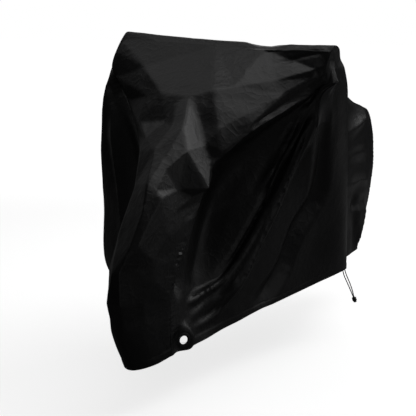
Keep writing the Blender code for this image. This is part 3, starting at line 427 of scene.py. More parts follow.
def unit(vectors: Array) -> Array:
    """Vectors at length 1."""
    vectors = np.asarray(vectors, float)
    return vectors / np.maximum(np.linalg.norm(vectors, axis=-1, keepdims=True), 1e-12)


def smooth_step(value: Array) -> Array:
    """0 below 0, 1 above 1 and a soft S between them."""
    value = np.clip(value, 0.0, 1.0)
    return value * value * (3.0 - 2.0 * value)


def smooth_curve(points: Array, places: Array) -> Array:
    """Points on curves that run smoothly through control points and never overshoot.

    Args:
        points: control points, shaped (..., count, size); the leading axes are separate curves.
        places: positions along the curves, from 0 to count - 1.

    Returns:
        The points, shaped (..., len(places), size).
    """
    points = np.asarray(points, float)
    last = points.shape[-2] - 1
    steps = np.diff(points, axis=-2)
    lengths = np.linalg.norm(steps, axis=-1, keepdims=True)
    inner = unit(steps[..., :-1, :] + steps[..., 1:, :])
    inner = inner * np.minimum(lengths[..., :-1, :], lengths[..., 1:, :])
    tangents = np.concatenate((steps[..., :1, :], inner, steps[..., -1:, :]), axis=-2)
    places = np.clip(np.asarray(places, float), 0.0, last)
    start = np.minimum(places.astype(int), last - 1)
    part = (places - start)[:, None]
    square, cube = part * part, part ** 3
    return ((2 * cube - 3 * square + 1) * points[..., start, :]
            + (cube - 2 * square + part) * tangents[..., start, :]
            + (3 * square - 2 * cube) * points[..., start + 1, :]
            + (cube - square) * tangents[..., start + 1, :])


def sampled_curve(points: Array, count: int) -> Array:
    """`count` points at even positions along the smooth curve through the given points."""
    return smooth_curve(points, np.linspace(0.0, len(points) - 1, count))


def counted_places(spans: tuple[tuple[float, float, int, float], ...]) -> Array:
    """Mesh places along a table.

    Args:
        spans: (start, end, steps, bias); a bias above 1 crowds the steps towards the start and one
            below 1 towards the end.

    Returns:
        All the places, in order.
    """
    parts = [start + (end - start) * np.linspace(0.0, 1.0, steps, endpoint=False) ** bias
             for start, end, steps, bias in spans]
    return np.concatenate((*parts, [spans[-1][1]]))


class Grain:
    """Smooth noise in space, from a seeded lattice that repeats far away."""

    SIZE = 24                # cells of the lattice each way

    def __init__(self, seed: int) -> None:
        """Fill the lattice."""
        self.values = np.random.default_rng(seed).uniform(-1.0, 1.0, (self.SIZE,) * 3)

    def at(self, points: Array, wavelength: float) -> Array:
        """Noise from -1 to 1 at each point.

        Args:
            points: the places, shaped (..., 3).
            wavelength: the size of its swells.

        Returns:
            One value for each point.
        """
        place = points / wavelength
        cell = np.floor(place).astype(int)
        part = smooth_step(place - cell)
        total = np.zeros(points.shape[:-1])
        for corner in np.ndindex(2, 2, 2):
            index = (cell + corner) % self.SIZE
            weight = np.prod(np.where(corner, part, 1.0 - part), axis=-1)
            total += weight * self.values[index[..., 0], index[..., 1], index[..., 2]]
        return total


def crumples(points: Array, wavelength: float, seed: int, ways: int = 3) -> Array:
    """Flat facets between sharp creases, as in cloth that was folded small.

    Args:
        points: the places, shaped (..., 3).
        wavelength: the size of the facets.
        seed: which crumples.
        ways: how many directions the creases run in.

    Returns:
        A height from about -0.5 to 0.5 for each point.
    """
    chance = np.random.default_rng(seed)
    grain = Grain(seed + 1)
    total = np.zeros(points.shape[:-1])
    for _ in range(ways):
        way = unit(chance.normal(size=3))
        shift = chance.uniform(0.0, 5.0, 3)
        bend = CREASE_BEND * grain.at(points + shift, BEND_SPACING * wavelength)
        phase = points @ way / wavelength + bend
        total += np.abs(2.0 * (phase % 1.0) - 1.0) - 0.5
    return total / ways


# ---------------------------------------------------------------------------------------------
# The cover's surfaces
# ---------------------------------------------------------------------------------------------


class CoverShape:
    """The smooth surfaces that the three panels follow."""

    # (start, end, steps, bias): mesh rows from the hem to the top edge, and lines from front to back
    ROWS = ((0.0, 0.4, 18, 1.25), (0.4, 1.0, 20, 1.0), (1.0, 2.0, 34, 1.0), (2.0, 3.0, 34, 1.0),
            (3.0, 3.4, 13, 1.0), (3.4, 4.0, 19, 1.0), (4.0, 4.667, 13, 1.0), (4.667, 5.0, 7, 1.0),
            (5.0, 6.0, 22, 0.85))
    LINES = ((0.0, 0.6667, 30, 1.25), (0.6667, 1.0, 11, 1.0), (1.0, 2.0, 36, 1.0), (2.0, 3.0, 34, 1.0),
             (3.0, 4.0, 20, 1.0), (4.0, 5.0, 16, 1.0), (5.0, 6.0, 12, 1.0), (6.0, 7.0, 12, 1.0),
             (7.0, 8.0, 12, 1.0), (8.0, 9.0, 16, 0.8))
    ACROSS = ((0.0, 0.5, 42, 1.10), (0.5, 1.0, 44, 0.92))

    def __init__(self) -> None:
        """Work out where the mesh rows and lines stand."""
        self.rows = counted_places(self.ROWS)
        self.lines = counted_places(self.LINES)
        self.across = counted_places(self.ACROSS)
        tops = [TOP_CORNERS[0], *(line.top_station for line in SIDE_LINES), TOP_CORNERS[1]]
        self.front = np.interp(self.rows, np.arange(len(FRONT_STATIONS)), FRONT_STATIONS)
        self.rear = np.interp(self.rows, np.arange(len(REAR_STATIONS)), REAR_STATIONS)
        self.top = np.interp(self.lines, np.arange(len(tops)), tops)
        self.stations = np.concatenate((self.front, self.top[1:], self.rear[::-1][1:]))

    @staticmethod
    def line_at(places: Array, place: float) -> int:
        """The number of the mesh row or line that stands at a place of a table."""
        return int(np.searchsorted(places, place - 1e-4))

    @staticmethod
    def strip_edge(side: Side, stations: Array) -> Array:
        """Points on one edge of the strip, at stations along its length."""
        edge = [section.near if side is Side.NEAR else section.far for section in STRIP_SECTIONS]
        return smooth_curve(edge, stations)

    def strip_grid(self) -> Array:
        """The strip's surface: rows along its length, columns from the far to the near edge.

        Returns:
            The points, shaped (rows, columns, 3).
        """
        far = self.strip_edge(Side.FAR, self.stations)[:, None]
        near = self.strip_edge(Side.NEAR, self.stations)[:, None]
        middle = smooth_curve([section.middle for section in STRIP_SECTIONS], self.stations)[:, None]
        bows = smooth_curve([(part.far_bow, part.near_bow) for part in STRIP_SECTIONS], self.stations)
        across = self.across[None, :]
        bow = bows[:, :1] + (bows[:, 1:] - bows[:, :1]) * across
        roundness = np.clip(2.0 - bow, 0.0, 1.0)
        place = (1.0 - roundness) * across + roundness * (1.0 - np.cos(math.pi * across)) / 2.0
        rise = np.maximum(4.0 * place * (1.0 - place), 0.0) ** (bow / 2.0)
        return far + (near - far) * place[..., None] + (middle - (far + near) / 2.0) * rise[..., None]

    def side_grid(self, side: Side) -> Array:
        """A side panel's surface: rows from the hem to the top edge, columns from front to back.

        Args:
            side: which side.

        Returns:
            The points, shaped (rows, columns, 3).
        """
        width = 1.0 if side is Side.NEAR else FAR_SIDE_WIDTH
        lines = [self.strip_edge(side, self.front)]
        for line in SIDE_LINES:
            top = self.strip_edge(side, np.array([line.top_station]))[0]
            lines.append(smooth_curve([*line.points(side, width), top], self.rows))
        lines.append(self.strip_edge(side, self.rear))
        grid = smooth_curve(np.stack(lines, axis=1), self.lines)
        slip = self.strip_edge(side, self.top) - grid[-1]
        share = smooth_step(self.rows - (len(FRONT_STATIONS) - 2))
        return grid + slip[None] * share[:, None, None]


class CreaseNet:
    """Flat facets of taut cloth between creases that stand in or out of the smooth surface."""

    SCALE = (0.115, 0.42)    # metres for a station of the strip, and for its width
    END = 0.5                # the facets begin and end over this part of a station
    SLACK = 1e-9             # for points that lie on a facet's side

    def __init__(self, creases: tuple[tuple[Point, ...], ...], edge: float) -> None:
        """Fill the places between the creases with triangles.

        Args:
            creases: the corners of each one, as (station, part of the way across, height).
            edge: the facets turn back into the smooth surface over this distance from the seams.
        """
        corners = sorted({corner for crease in creases for corner in crease})
        rank = {corner: index for index, corner in enumerate(corners)}
        pairs = [(rank[a], rank[b]) for crease in creases for a, b in zip(crease, crease[1:])]
        table = np.array(corners)
        self.places = table[:, :2] * self.SCALE
        self.stations, self.acrosses, self.heights = table.T
        self.edge = edge
        flat = [Vector(place) for place in self.places]
        _, _, faces, *_ = delaunay_2d_cdt(flat, pairs, [], 0, 1e-6)
        self.faces = np.array([face[:3] for face in faces])

    def press(self, sheet: "ClothSheet", stations: Array, across: Array) -> None:
        """Give a sheet the facets.

        Args:
            sheet: the strip.
            stations: the station of each of its rows.
            across: how far across each of its columns is.
        """
        row = np.interp(self.stations, stations, np.arange(len(stations)))
        column = np.interp(self.acrosses, across, np.arange(len(across)))
        corners = self._sampled(sheet.grid, row, column)
        corners += self._sampled(sheet.normals, row, column) * self.heights[:, None]
        spots = np.stack(np.meshgrid(stations * self.SCALE[0], across * self.SCALE[1], indexing="ij"), axis=2)
        facets = sheet.grid.copy()
        inside = np.zeros(spots.shape[:2], bool)
        for face in self.faces:
            a, b, c = self.places[face]
            frame = np.linalg.inv(np.stack((b - a, c - a), axis=1))
            part = (spots - a) @ frame.T
            shares = np.concatenate((1.0 - part.sum(axis=2, keepdims=True), part), axis=2)
            hit = np.all(shares >= -self.SLACK, axis=2)
            facets[hit] = shares[hit] @ corners[face]
            inside |= hit
        seams = np.minimum(sheet.from_edge(1, 0), sheet.from_edge(1, -1))
        share = smooth_step(seams / self.edge) * inside
        first, last = self.stations.min(), self.stations.max()
        ends = np.minimum(stations - first, last - stations) / self.END
        sheet.grid = sheet.grid + (facets - sheet.grid) * (share * smooth_step(ends)[:, None])[..., None]
        sheet.normals = sheet.faced()

    @staticmethod
    def _sampled(values: Array, row: Array, column: Array) -> Array:
        """Values of a grid between its rows and columns.

        Args:
            values: the grid.
            row: where each place stands, counted in rows.
            column: the same in columns.

        Returns:
            The values, one for each place.
        """
        i = np.minimum(row.astype(int), len(values) - 2)
        j = np.minimum(column.astype(int), values.shape[1] - 2)
        down, over = (row - i)[:, None], (column - j)[:, None]
        return ((values[i, j] * (1.0 - over) + values[i, j + 1] * over) * (1.0 - down)
                + (values[i + 1, j] * (1.0 - over) + values[i + 1, j + 1] * over) * down)


class ClothSheet:
    """A panel of cloth: a grid of points that folds push along its normals."""

    def __init__(self, grid: Array, turn: int) -> None:
        """Keep the grid and find its normals.

        Args:
            grid: the points, shaped (rows, columns, 3).
            turn: 1 or -1, so that the normals face out.
        """
        self.grid = grid
        self.turn = turn
        self.normals = self.faced()

    def faced(self) -> Array:
        """Unit normals of the grid."""
        return unit(np.cross(np.gradient(self.grid, axis=0), np.gradient(self.grid, axis=1)) * self.turn)

    def lift(self, heights: Array) -> None:
        """Push the points out along the normals, and find the new normals."""
        self.grid = self.grid + self.normals * heights[..., None]
        self.normals = self.faced()

    def from_edge(self, axis: int, end: int) -> Array:
        """Distance over the cloth of each point from an edge of the grid.

        Args:
            axis: 0 for an edge along a row, 1 for one along a column.
            end: 0 for the first row or column, -1 for the last one.

        Returns:
            The distances, one for each point.
        """
        steps = np.linalg.norm(np.diff(self.grid, axis=axis), axis=2)
        pad = [(0, 0), (0, 0)]
        if end == 0:
            pad[axis] = (1, 0)
            return np.pad(np.cumsum(steps, axis=axis), pad)
        pad[axis] = (0, 1)
        return np.pad(np.flip(np.cumsum(np.flip(steps, axis), axis=axis), axis), pad)

    def folded(self, folds: tuple[Fold, ...]) -> Array:
        """How far folds push each point out.

        Args:
            folds: the panel's folds.

        Returns:
            The heights, one for each point.
        """
        total = np.zeros(self.grid.shape[:2])
        for fold in folds:
            path = np.array(fold.path)
            reach = fold.half_width + FOLD_REACH
            close = np.all((self.grid > path.min(axis=0) - reach)
                           & (self.grid < path.max(axis=0) + reach), axis=2)
            total[close] += self._one_fold(fold, self.grid[close], self.normals[close])
        return total

    @staticmethod
    def _one_fold(fold: Fold, points: Array, normals: Array) -> Array:
        """Heights of one fold at the given points.

        Args:
            fold: the fold.
            points: places on the cloth, shaped (count, 3).
            normals: the cloth's normals there.

        Returns:
            The heights, one for each point.
        """
        line = sampled_curve(fold.path, FOLD_SAMPLES)
        nearest = np.full(len(points), np.inf)
        along = np.zeros(len(points))
        for k in range(FOLD_SAMPLES - 1):
            step = line[k + 1] - line[k]
            part = np.clip(((points - line[k]) @ step) / (step @ step), 0.0, 1.0)
            apart = points - (line[k] + part[:, None] * step)
            off_cloth = np.abs(np.sum(apart * normals, axis=1))
            on_cloth = np.sqrt(np.maximum(np.sum(apart * apart, axis=1) - off_cloth ** 2, 0.0))
            on_cloth[off_cloth > FOLD_REACH] = np.inf
            closer = on_cloth < nearest
            nearest[closer] = on_cloth[closer]
            along[closer] = ((k + part) / (FOLD_SAMPLES - 1))[closer]
        t = np.clip(nearest / fold.half_width, 0.0, 1.0)
        shape = fold.crispness * (1.0 - t) ** 2 + (1.0 - fold.crispness) * (1.0 - t * t) ** 2
        ends = smooth_step(along / fold.fade) * smooth_step((1.0 - along) / fold.fade)
        return fold.height * shape * ends

    def under(self, thickness: Array) -> Array:
        """The inner face, a thickness under the outer one."""
        return self.grid - self.normals * thickness[..., None]


@dataclass
class Edge:
    """A sewn or hemmed edge of a panel, with the distances that its puckers need."""

    away: Array              # distance of each point from the edge
    along: Array             # distance of each point along the edge


def edge_of(sheet: ClothSheet, axis: int, end: int) -> Edge:
    """An edge of a sheet, and how far every point is from it and along it.

    Args:
        sheet: the panel.
        axis: 0 for an edge along a row, 1 for one along a column.
        end: 0 for the first row or column, -1 for the last one.

    Returns:
        The edge with its distances.
    """
    line = sheet.grid[end] if axis == 0 else sheet.grid[:, end]
    run = np.concatenate(([0.0], np.cumsum(np.linalg.norm(np.diff(line, axis=0), axis=1))))
    along = run[None, :] if axis == 0 else run[:, None]
    return Edge(sheet.from_edge(axis, end), np.broadcast_to(along, sheet.grid.shape[:2]))


def puckers(edge: Edge, depth: float, pitch: float, seed: int) -> Array:
    """Short gathers that stand across a seam.

    Args:
        edge: the seam.
        depth: how high they stand.
        pitch: their mean distance along the seam.
        seed: which puckers.

    Returns:
        The heights, one for each point.
    """
    chance = np.random.default_rng(seed)
    marks = np.cumsum(chance.uniform(*PUCKER_SPACING, int(edge.along.max() / pitch) + SPARE_MARKS)) * pitch
    phase = np.interp(edge.along, marks, np.arange(len(marks)))
    strength = np.interp(edge.along, marks, chance.uniform(*PUCKER_STRENGTH, len(marks)))
    reach = PUCKER_PEAK * np.interp(edge.along, marks, chance.uniform(*PUCKER_LENGTH, len(marks)))
    crest = 1.0 - 2.0 * np.abs(2.0 * (phase % 1.0) - 1.0) ** PUCKER_POINT
    return depth * strength * crest * (edge.away / reach) * np.exp(1.0 - edge.away / reach)


def seam_dip(edge: Edge) -> Array:
    """The cloth's own dip into a plain seam."""
    return -SEAM_DIP * np.exp(-((edge.away / SEAM_DIP_WIDTH) ** 2))


def hem_casing(edge: Edge) -> Array:
    """The doubled cloth of a hem, and the line of stitches that holds it down.

    Args:
        edge: the hem.

    Returns:
        The heights, one for each point.
    """
    doubled = HEM_RISE * smooth_step((HEM_WIDTH - edge.away) / HEM_STEP)
    groove = -STITCH_GROOVE * np.exp(-(((edge.away - HEM_WIDTH) / STITCH_GROOVE_WIDTH) ** 2))
    return doubled + groove


# ---------------------------------------------------------------------------------------------
# Meshes
# ---------------------------------------------------------------------------------------------
SHARP_EDGE = math.radians(55.0)


def finished_mesh(name: str, points: Array, faces: list[list[int]]) -> bpy.types.Mesh:
    """A closed mesh whose faces look out, lowered from heights above the ground.

    Args:
        name: the mesh's name.
        points: its vertices, as heights above the ground.
        faces: its faces, all turned the same way.

    Returns:
        The mesh, shaded smooth with sharp rims.
    """
    mesh = bpy.data.meshes.new(name)
    lowered = np.asarray(points, float) - (0.0, 0.0, BAR_HEIGHT)
    mesh.from_pydata(lowered.tolist(), [], faces)
    mesh.update()
    mesh.calc_loop_triangles()
    corners = np.zeros(len(mesh.loop_triangles) * 3, np.int32)
    mesh.loop_triangles.foreach_get("vertices", corners)
    a, b, c = lowered[corners].reshape(-1, 3, 3).swapaxes(0, 1)
    if np.sum(a * np.cross(b, c)) < 0.0:
        mesh.flip_normals()
    mesh.shade_smooth()
    mesh.set_sharp_from_angle(angle=SHARP_EDGE)
    return mesh


def shell_mesh(name: str, outer: Array, inner: Array, cells: Array | None = None) -> bpy.types.Mesh:
    """A closed sheet between two grids of points.

    Args:
        name: the mesh's name.
        outer: the outer face, shaped (rows, columns, 3).
        inner: the inner face, of the same shape.
        cells: which of the grid's cells are cloth; all of them if left out.

    Returns:
        The mesh.
    """
    rows, columns = outer.shape[:2]
    index = np.arange(rows * columns).reshape(rows, columns)
    quads = np.stack((index[:-1, :-1], index[:-1, 1:], index[1:, 1:], index[1:, :-1]), axis=2)
    quads = quads.reshape(-1, 4) if cells is None else quads[cells]
    total = rows * columns
    starts, ends = quads.ravel(), np.roll(quads, -1, axis=1).ravel()
    rim = ~np.isin(starts * total + ends, ends * total + starts)
    rims = np.stack((ends[rim], starts[rim], starts[rim] + total, ends[rim] + total), axis=1)
    faces = np.concatenate((quads, quads[:, ::-1] + total, rims))
    points = np.concatenate((outer.reshape(-1, 3), inner.reshape(-1, 3)))
    used, faces = np.unique(faces, return_inverse=True)
    return finished_mesh(name, points[used], faces.reshape(-1, 4).tolist())


def turned_mesh(name: str, profile: Array, turns: int) -> bpy.types.Mesh:
    """A solid of revolution about +Z, kept at its own heights.

    Args:
        name: the mesh's name.
        profile: (radius, height) points; a profile that starts and ends at radius 0 is closed there,
            and any other one is a ring.
        turns: the number of steps round.

    Returns:
        The mesh.
    """
    profile = np.asarray(profile, float)
    ring = profile[0, 0] > 0.0
    body = profile if ring else profile[1:-1]
    angles = np.arange(turns) * math.tau / turns
    points = np.stack((body[:, :1] * np.cos(angles), body[:, :1] * np.sin(angles),
                       np.repeat(body[:, 1:], turns, axis=1)), axis=2).reshape(-1, 3)
    faces = []
    count = len(body)
    for i in range(count if ring else count - 1):
        above = (i + 1) % count
        faces += [[i * turns + k, i * turns + (k + 1) % turns,
                   above * turns + (k + 1) % turns, above * turns + k] for k in range(turns)]
    if not ring:
        poles = len(points)
        points = np.concatenate((points, [(0.0, 0.0, profile[0, 1]), (0.0, 0.0, profile[-1, 1])]))
        faces += [[(k + 1) % turns, k, poles] for k in range(turns)]
        top = (count - 1) * turns
        faces += [[top + k, top + (k + 1) % turns, poles + 1] for k in range(turns)]
    return finished_mesh(name, points + (0.0, 0.0, BAR_HEIGHT), faces)


def facing(place: Point, direction: Point) -> Matrix:
    """The matrix that stands a piece made along +Z at a place, along a direction."""
    spot = Matrix.Translation(Vector(place) - Vector((0.0, 0.0, BAR_HEIGHT)))
    return spot @ Vector(direction).to_track_quat("Z", "Y").to_matrix().to_4x4()


def add_piece(name: str, data: bpy.types.ID, material: bpy.types.Material) -> bpy.types.Object:
    """Put a piece into the scene, on the cover's body.

    Args:
        name: the piece's name.
        data: its mesh or curve.
        material: its finish.

    Returns:
        The new object.
    """
    data.materials.append(material)
    piece = bpy.data.objects.new(name, data)
    bpy.context.scene.collection.objects.link(piece)
    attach(piece, BODY)
    return piece


# ---------------------------------------------------------------------------------------------
# Finishes
# ---------------------------------------------------------------------------------------------


class Nodes:
    """A node tree with short calls for adding and joining its nodes."""

    def __init__(self, tree: bpy.types.NodeTree) -> None:
        """Work on this tree."""
        self.tree = tree

    def add(self, kind: str, **settings: object) -> bpy.types.Node:
        """Add a node.

        Args:
            kind: its type.
            settings: its properties, and the values of unlinked inputs by their names with _ for
                each space; a socket of another node is linked.

        Returns:
            The node.
        """
        node = self.tree.nodes.new(kind)
        for name, value in settings.items():
            if hasattr(node, name):
                setattr(node, name, value)
        for name, value in settings.items():
            if hasattr(node, name):
                continue
            spot = node.inputs[int(name[1:])] if name[0] == "_" else node.inputs[name.replace("_", " ")]
            if isinstance(value, bpy.types.NodeSocket):
                self.tree.links.new(value, spot)
            else:
                spot.default_value = value
        return node

    def maths(self, operation: str, *values: object) -> bpy.types.NodeSocket:
        """The result of a Math node on numbers or sockets."""
        inputs = {f"_{k}": value for k, value in enumerate(values)}
        return self.add("ShaderNodeMath", operation=operation, **inputs).outputs[0]

    def span(self, value: bpy.types.NodeSocket, low: object, high: object) -> bpy.types.NodeSocket:
        """A mask from 0 to 1 mapped to low to high, which are numbers or sockets."""
        return self.add("ShaderNodeMapRange", _0=value, _3=low, _4=high).outputs[0]


def shared_group(name: str, inputs: dict[str, str], outputs: dict[str, str]) -> tuple[Nodes, dict, dict]:
    """A new, empty shader group.

    Args:
        name: the group's name.
        inputs: its inputs, as name to socket type.
        outputs: its outputs, in the same way.

    Returns:
        Its nodes, the sockets that carry its inputs, and the sockets that take its outputs.
    """
    tree = bpy.data.node_groups.new(name, "ShaderNodeTree")
    for socket, kind in inputs.items():
        tree.interface.new_socket(socket, in_out="INPUT", socket_type=kind)
    for socket, kind in outputs.items():
        tree.interface.new_socket(socket, in_out="OUTPUT", socket_type=kind)
    nodes = Nodes(tree)
    taken = nodes.add("NodeGroupInput").outputs
    given = nodes.add("NodeGroupOutput").inputs
    return nodes, taken, given


NUMBER = "NodeSocketFloat"
VECTOR = "NodeSocketVector"


def crinkle_group() -> bpy.types.NodeTree:
    """Fine creases left by packing, and the slow drift of a coating's gloss.

    Returns:
        The group.
    """
    nodes, taken, given = shared_group("crinkle", {"Fine": NUMBER, "Broad": NUMBER},
                                       {"Normal": VECTOR, "Wear": NUMBER})
    place = nodes.add("ShaderNodeTexCoord").outputs["Object"]
    drift = nodes.add("ShaderNodeTexNoise", Vector=place, Scale=9.0, Detail=3.0, Roughness=0.55)
    bend = nodes.add("ShaderNodeTexNoise", Vector=place, Scale=14.0, Detail=2.0)
    shift = nodes.add("ShaderNodeVectorMath", operation="MULTIPLY_ADD", _0=bend.outputs["Color"],
                      _1=(0.05, 0.05, 0.05), _2=place)
    facets = nodes.add("ShaderNodeTexVoronoi", feature="DISTANCE_TO_EDGE", Vector=shift.outputs[0],
                       Scale=34.0, Randomness=1.0)
    ridges = nodes.maths("POWER", nodes.span(facets.outputs["Distance"], 1.0, 0.0), 6.0)
    swell = nodes.add("ShaderNodeTexNoise", Vector=place, Scale=30.0, Detail=5.0, Roughness=0.62)
    broad = nodes.add("ShaderNodeBump", Strength=1.0, Distance=taken["Broad"],
                      Height=nodes.maths("MULTIPLY_ADD", ridges, 0.35, swell.outputs[0]))
    grain = nodes.add("ShaderNodeTexNoise", Vector=place, Scale=190.0, Detail=3.0, Roughness=0.6)
    fine = nodes.add("ShaderNodeBump", Strength=1.0, Distance=taken["Fine"], Height=grain.outputs[0],
                     Normal=broad.outputs[0])
    nodes.tree.links.new(fine.outputs[0], given["Normal"])
    nodes.tree.links.new(drift.outputs[0], given["Wear"])
    return nodes.tree


def weave_group() -> bpy.types.NodeTree:
    """A plain weave on the object's own axes, turned with the surface so that it never smears.

    Returns:
        The group.
    """
    nodes, taken, given = shared_group("weave", {"Pitch": NUMBER, "Depth": NUMBER, "Normal": VECTOR},
                                       {"Normal": VECTOR})
    place = nodes.add("ShaderNodeSeparateXYZ", _0=nodes.add("ShaderNodeTexCoord").outputs["Object"])
    facing_way = nodes.add("ShaderNodeNewGeometry").outputs["True Normal"]
    out = nodes.add("ShaderNodeSeparateXYZ", _0=facing_way)
    turns = nodes.maths("DIVIDE", math.tau, taken["Pitch"])
    waves = [nodes.maths("SINE", nodes.maths("MULTIPLY", place.outputs[k], turns)) for k in range(3)]
    weights = [nodes.maths("POWER", nodes.maths("ABSOLUTE", out.outputs[k]), 4.0) for k in range(3)]
    threads = [nodes.maths("MULTIPLY", waves[(k + 1) % 3], waves[(k + 2) % 3]) for k in range(3)]
    height = nodes.maths("MULTIPLY", threads[0], weights[0])
    for k in (1, 2):
        height = nodes.maths("MULTIPLY_ADD", threads[k], weights[k], height)
    bump = nodes.add("ShaderNodeBump", Strength=1.0, Distance=taken["Depth"], Height=height,
                     Normal=taken["Normal"])
    nodes.tree.links.new(bump.outputs[0], given["Normal"])
    return nodes.tree


def braid_group() -> bpy.types.NodeTree:
    """Threads that cross round a cord, from its own length and turn coordinates, and a mask that paints shade
    into the gaps between them.

    Returns:
        The group.
    """
    nodes, taken, given = shared_group("braid", {"Turns": NUMBER, "Depth": NUMBER},
                                       {"Normal": VECTOR, "Gap shade": NUMBER})
    place = nodes.add("ShaderNodeSeparateXYZ", _0=nodes.add("ShaderNodeTexCoord").outputs["UV"])
    along = nodes.maths("MULTIPLY", place.outputs[0], nodes.maths("MULTIPLY", taken["Turns"], math.tau))
    around = nodes.maths("MULTIPLY", place.outputs[1], 4.0 * math.tau)
    left = nodes.maths("SINE", nodes.maths("ADD", along, around))
    right = nodes.maths("SINE", nodes.maths("SUBTRACT", along, around))
    height = nodes.maths("MAXIMUM", left, right)
    bump = nodes.add("ShaderNodeBump", Strength=1.0, Distance=taken["Depth"], Height=height)
    nodes.tree.links.new(bump.outputs[0], given["Normal"])
    # the gap mask: 0 in the gaps between the threads, where the finish paints shade, and 1 on their crowns
    nodes.tree.links.new(nodes.maths("MULTIPLY_ADD", height, 0.5, 0.5), given["Gap shade"])
    return nodes.tree


@dataclass
class Effects:
    """The node groups that the finishes share."""

    crinkle: bpy.types.NodeTree
    weave: bpy.types.NodeTree
    braid: bpy.types.NodeTree


def shared_effects() -> Effects:
    """All the shared node groups."""
    return Effects(crinkle_group(), weave_group(), braid_group())


def blank_material(name: str) -> tuple[bpy.types.Material, Nodes, bpy.types.Node]:
    """A new material, its nodes and its Principled shader.

    Args:
        name: its name.

    Returns:
        The material, its nodes and the shader.
    """
    material = bpy.data.materials.new(name)
    material.use_nodes = True
    return material, Nodes(material.node_tree), material.node_tree.nodes["Principled BSDF"]


@dataclass(frozen=True)
class ClothFinish:
    """Thin synthetic cloth with a satin coating."""

    colour: Point = (0.0045, 0.0045, 0.0050)
    worn_colour: Point = (0.0065, 0.0065, 0.0070)
    gloss: tuple[float, float] = (0.33, 0.46)
    broad: float = 0.0011
    fine: float = 0.00010
    thread: float = 0.0006
    thread_depth: float = 0.00003

    def material(self, name: str, effects: Effects) -> bpy.types.Material:
        """Build the material.

        Args:
            name: its name.
            effects: the shared node groups.

        Returns:
            The material.
        """
        material, nodes, shader = blank_material(name)
        crinkle = nodes.add("ShaderNodeGroup", node_tree=effects.crinkle, Fine=self.fine, Broad=self.broad)
        weave = nodes.add("ShaderNodeGroup", node_tree=effects.weave, Pitch=self.thread,
                          Depth=self.thread_depth, Normal=crinkle.outputs["Normal"])
        tint = nodes.add("ShaderNodeMix", data_type="RGBA", _0=crinkle.outputs["Wear"],
                         _6=(*self.colour, 1.0), _7=(*self.worn_colour, 1.0))
        links = material.node_tree.links
        links.new(tint.outputs[2], shader.inputs["Base Color"])
        links.new(nodes.span(crinkle.outputs["Wear"], *self.gloss), shader.inputs["Roughness"])
        links.new(weave.outputs["Normal"], shader.inputs["Normal"])
        shader.inputs["IOR"].default_value = 1.5
        return material


@dataclass(frozen=True)
class TapeFinish:
    """Woven tape or sewing thread, matt."""

    colour: Point
    roughness: float
    thread: float
    thread_depth: float

    def material(self, name: str, effects: Effects) -> bpy.types.Material:
        """Build the material.

        Args:
            name: its name.
            effects: the shared node groups.

        Returns:
            The material.
        """
        material, nodes, shader = blank_material(name)
        weave = nodes.add("ShaderNodeGroup", node_tree=effects.weave, Pitch=self.thread,
                          Depth=self.thread_depth)
        material.node_tree.links.new(weave.outputs["Normal"], shader.inputs["Normal"])
        shader.inputs["Base Color"].default_value = (*self.colour, 1.0)
        shader.inputs["Roughness"].default_value = self.roughness
        shader.inputs["Sheen Weight"].default_value = 0.15
        shader.inputs["Sheen Roughness"].default_value = 0.5
        return material


@dataclass(frozen=True)
class MouldedFinish:
    """Moulded plastic with a fine spark-eroded grain."""

    colour: Point
    gloss: tuple[float, float]
    grain: float = 0.00004

    def material(self, name: str) -> bpy.types.Material:
        """Build the material.

        Args:
            name: its name.

        Returns:
            The material.
        """
        material, nodes, shader = blank_material(name)
        place = nodes.add("ShaderNodeTexCoord").outputs["Object"]
        grain = nodes.add("ShaderNodeTexNoise", Vector=place, Scale=900.0, Detail=2.0)
        smear = nodes.add("ShaderNodeTexNoise", Vector=place, Scale=60.0, Detail=3.0)
        bump = nodes.add("ShaderNodeBump", Strength=1.0, Distance=self.grain, Height=grain.outputs[0])
        links = material.node_tree.links
        links.new(bump.outputs[0], shader.inputs["Normal"])
        links.new(nodes.span(smear.outputs[0], *self.gloss), shader.inputs["Roughness"])
        shader.inputs["Base Color"].default_value = (*self.colour, 1.0)
        return material


@dataclass(frozen=True)
class BraidFinish:
    """Braided polyester cord, darkened between its threads as painted shade."""

    colour: Point = (0.020, 0.020, 0.021)
    # painted shade in the gaps between the threads
    gap_colour: Point = (0.004, 0.004, 0.005)
    roughness: float = 0.55
    turns: float = 26.0
    depth: float = 0.00015

    def material(self, name: str, effects: Effects) -> bpy.types.Material:
        """Build the material.

        Args:
            name: its name.
            effects: the shared node groups.

        Returns:
            The material.
        """
        material, nodes, shader = blank_material(name)
        braid = nodes.add("ShaderNodeGroup", node_tree=effects.braid, Turns=self.turns, Depth=self.depth)
        # the gap mask mixes in the darker colour between the threads: painted shade
        tint = nodes.add("ShaderNodeMix", data_type="RGBA", _0=braid.outputs["Gap shade"],
                         _6=(*self.gap_colour, 1.0), _7=(*self.colour, 1.0))
        links = material.node_tree.links
        links.new(tint.outputs[2], shader.inputs["Base Color"])
        links.new(braid.outputs["Normal"], shader.inputs["Normal"])
        shader.inputs["Roughness"].default_value = self.roughness
        return material


@dataclass
class Wardrobe:
    """One material of each kind."""

    cloth: bpy.types.Material
    tape: bpy.types.Material
    thread: bpy.types.Material
    ring: bpy.types.Material
    cord: bpy.types.Material
    toggle: bpy.types.Material
    button: bpy.types.Material


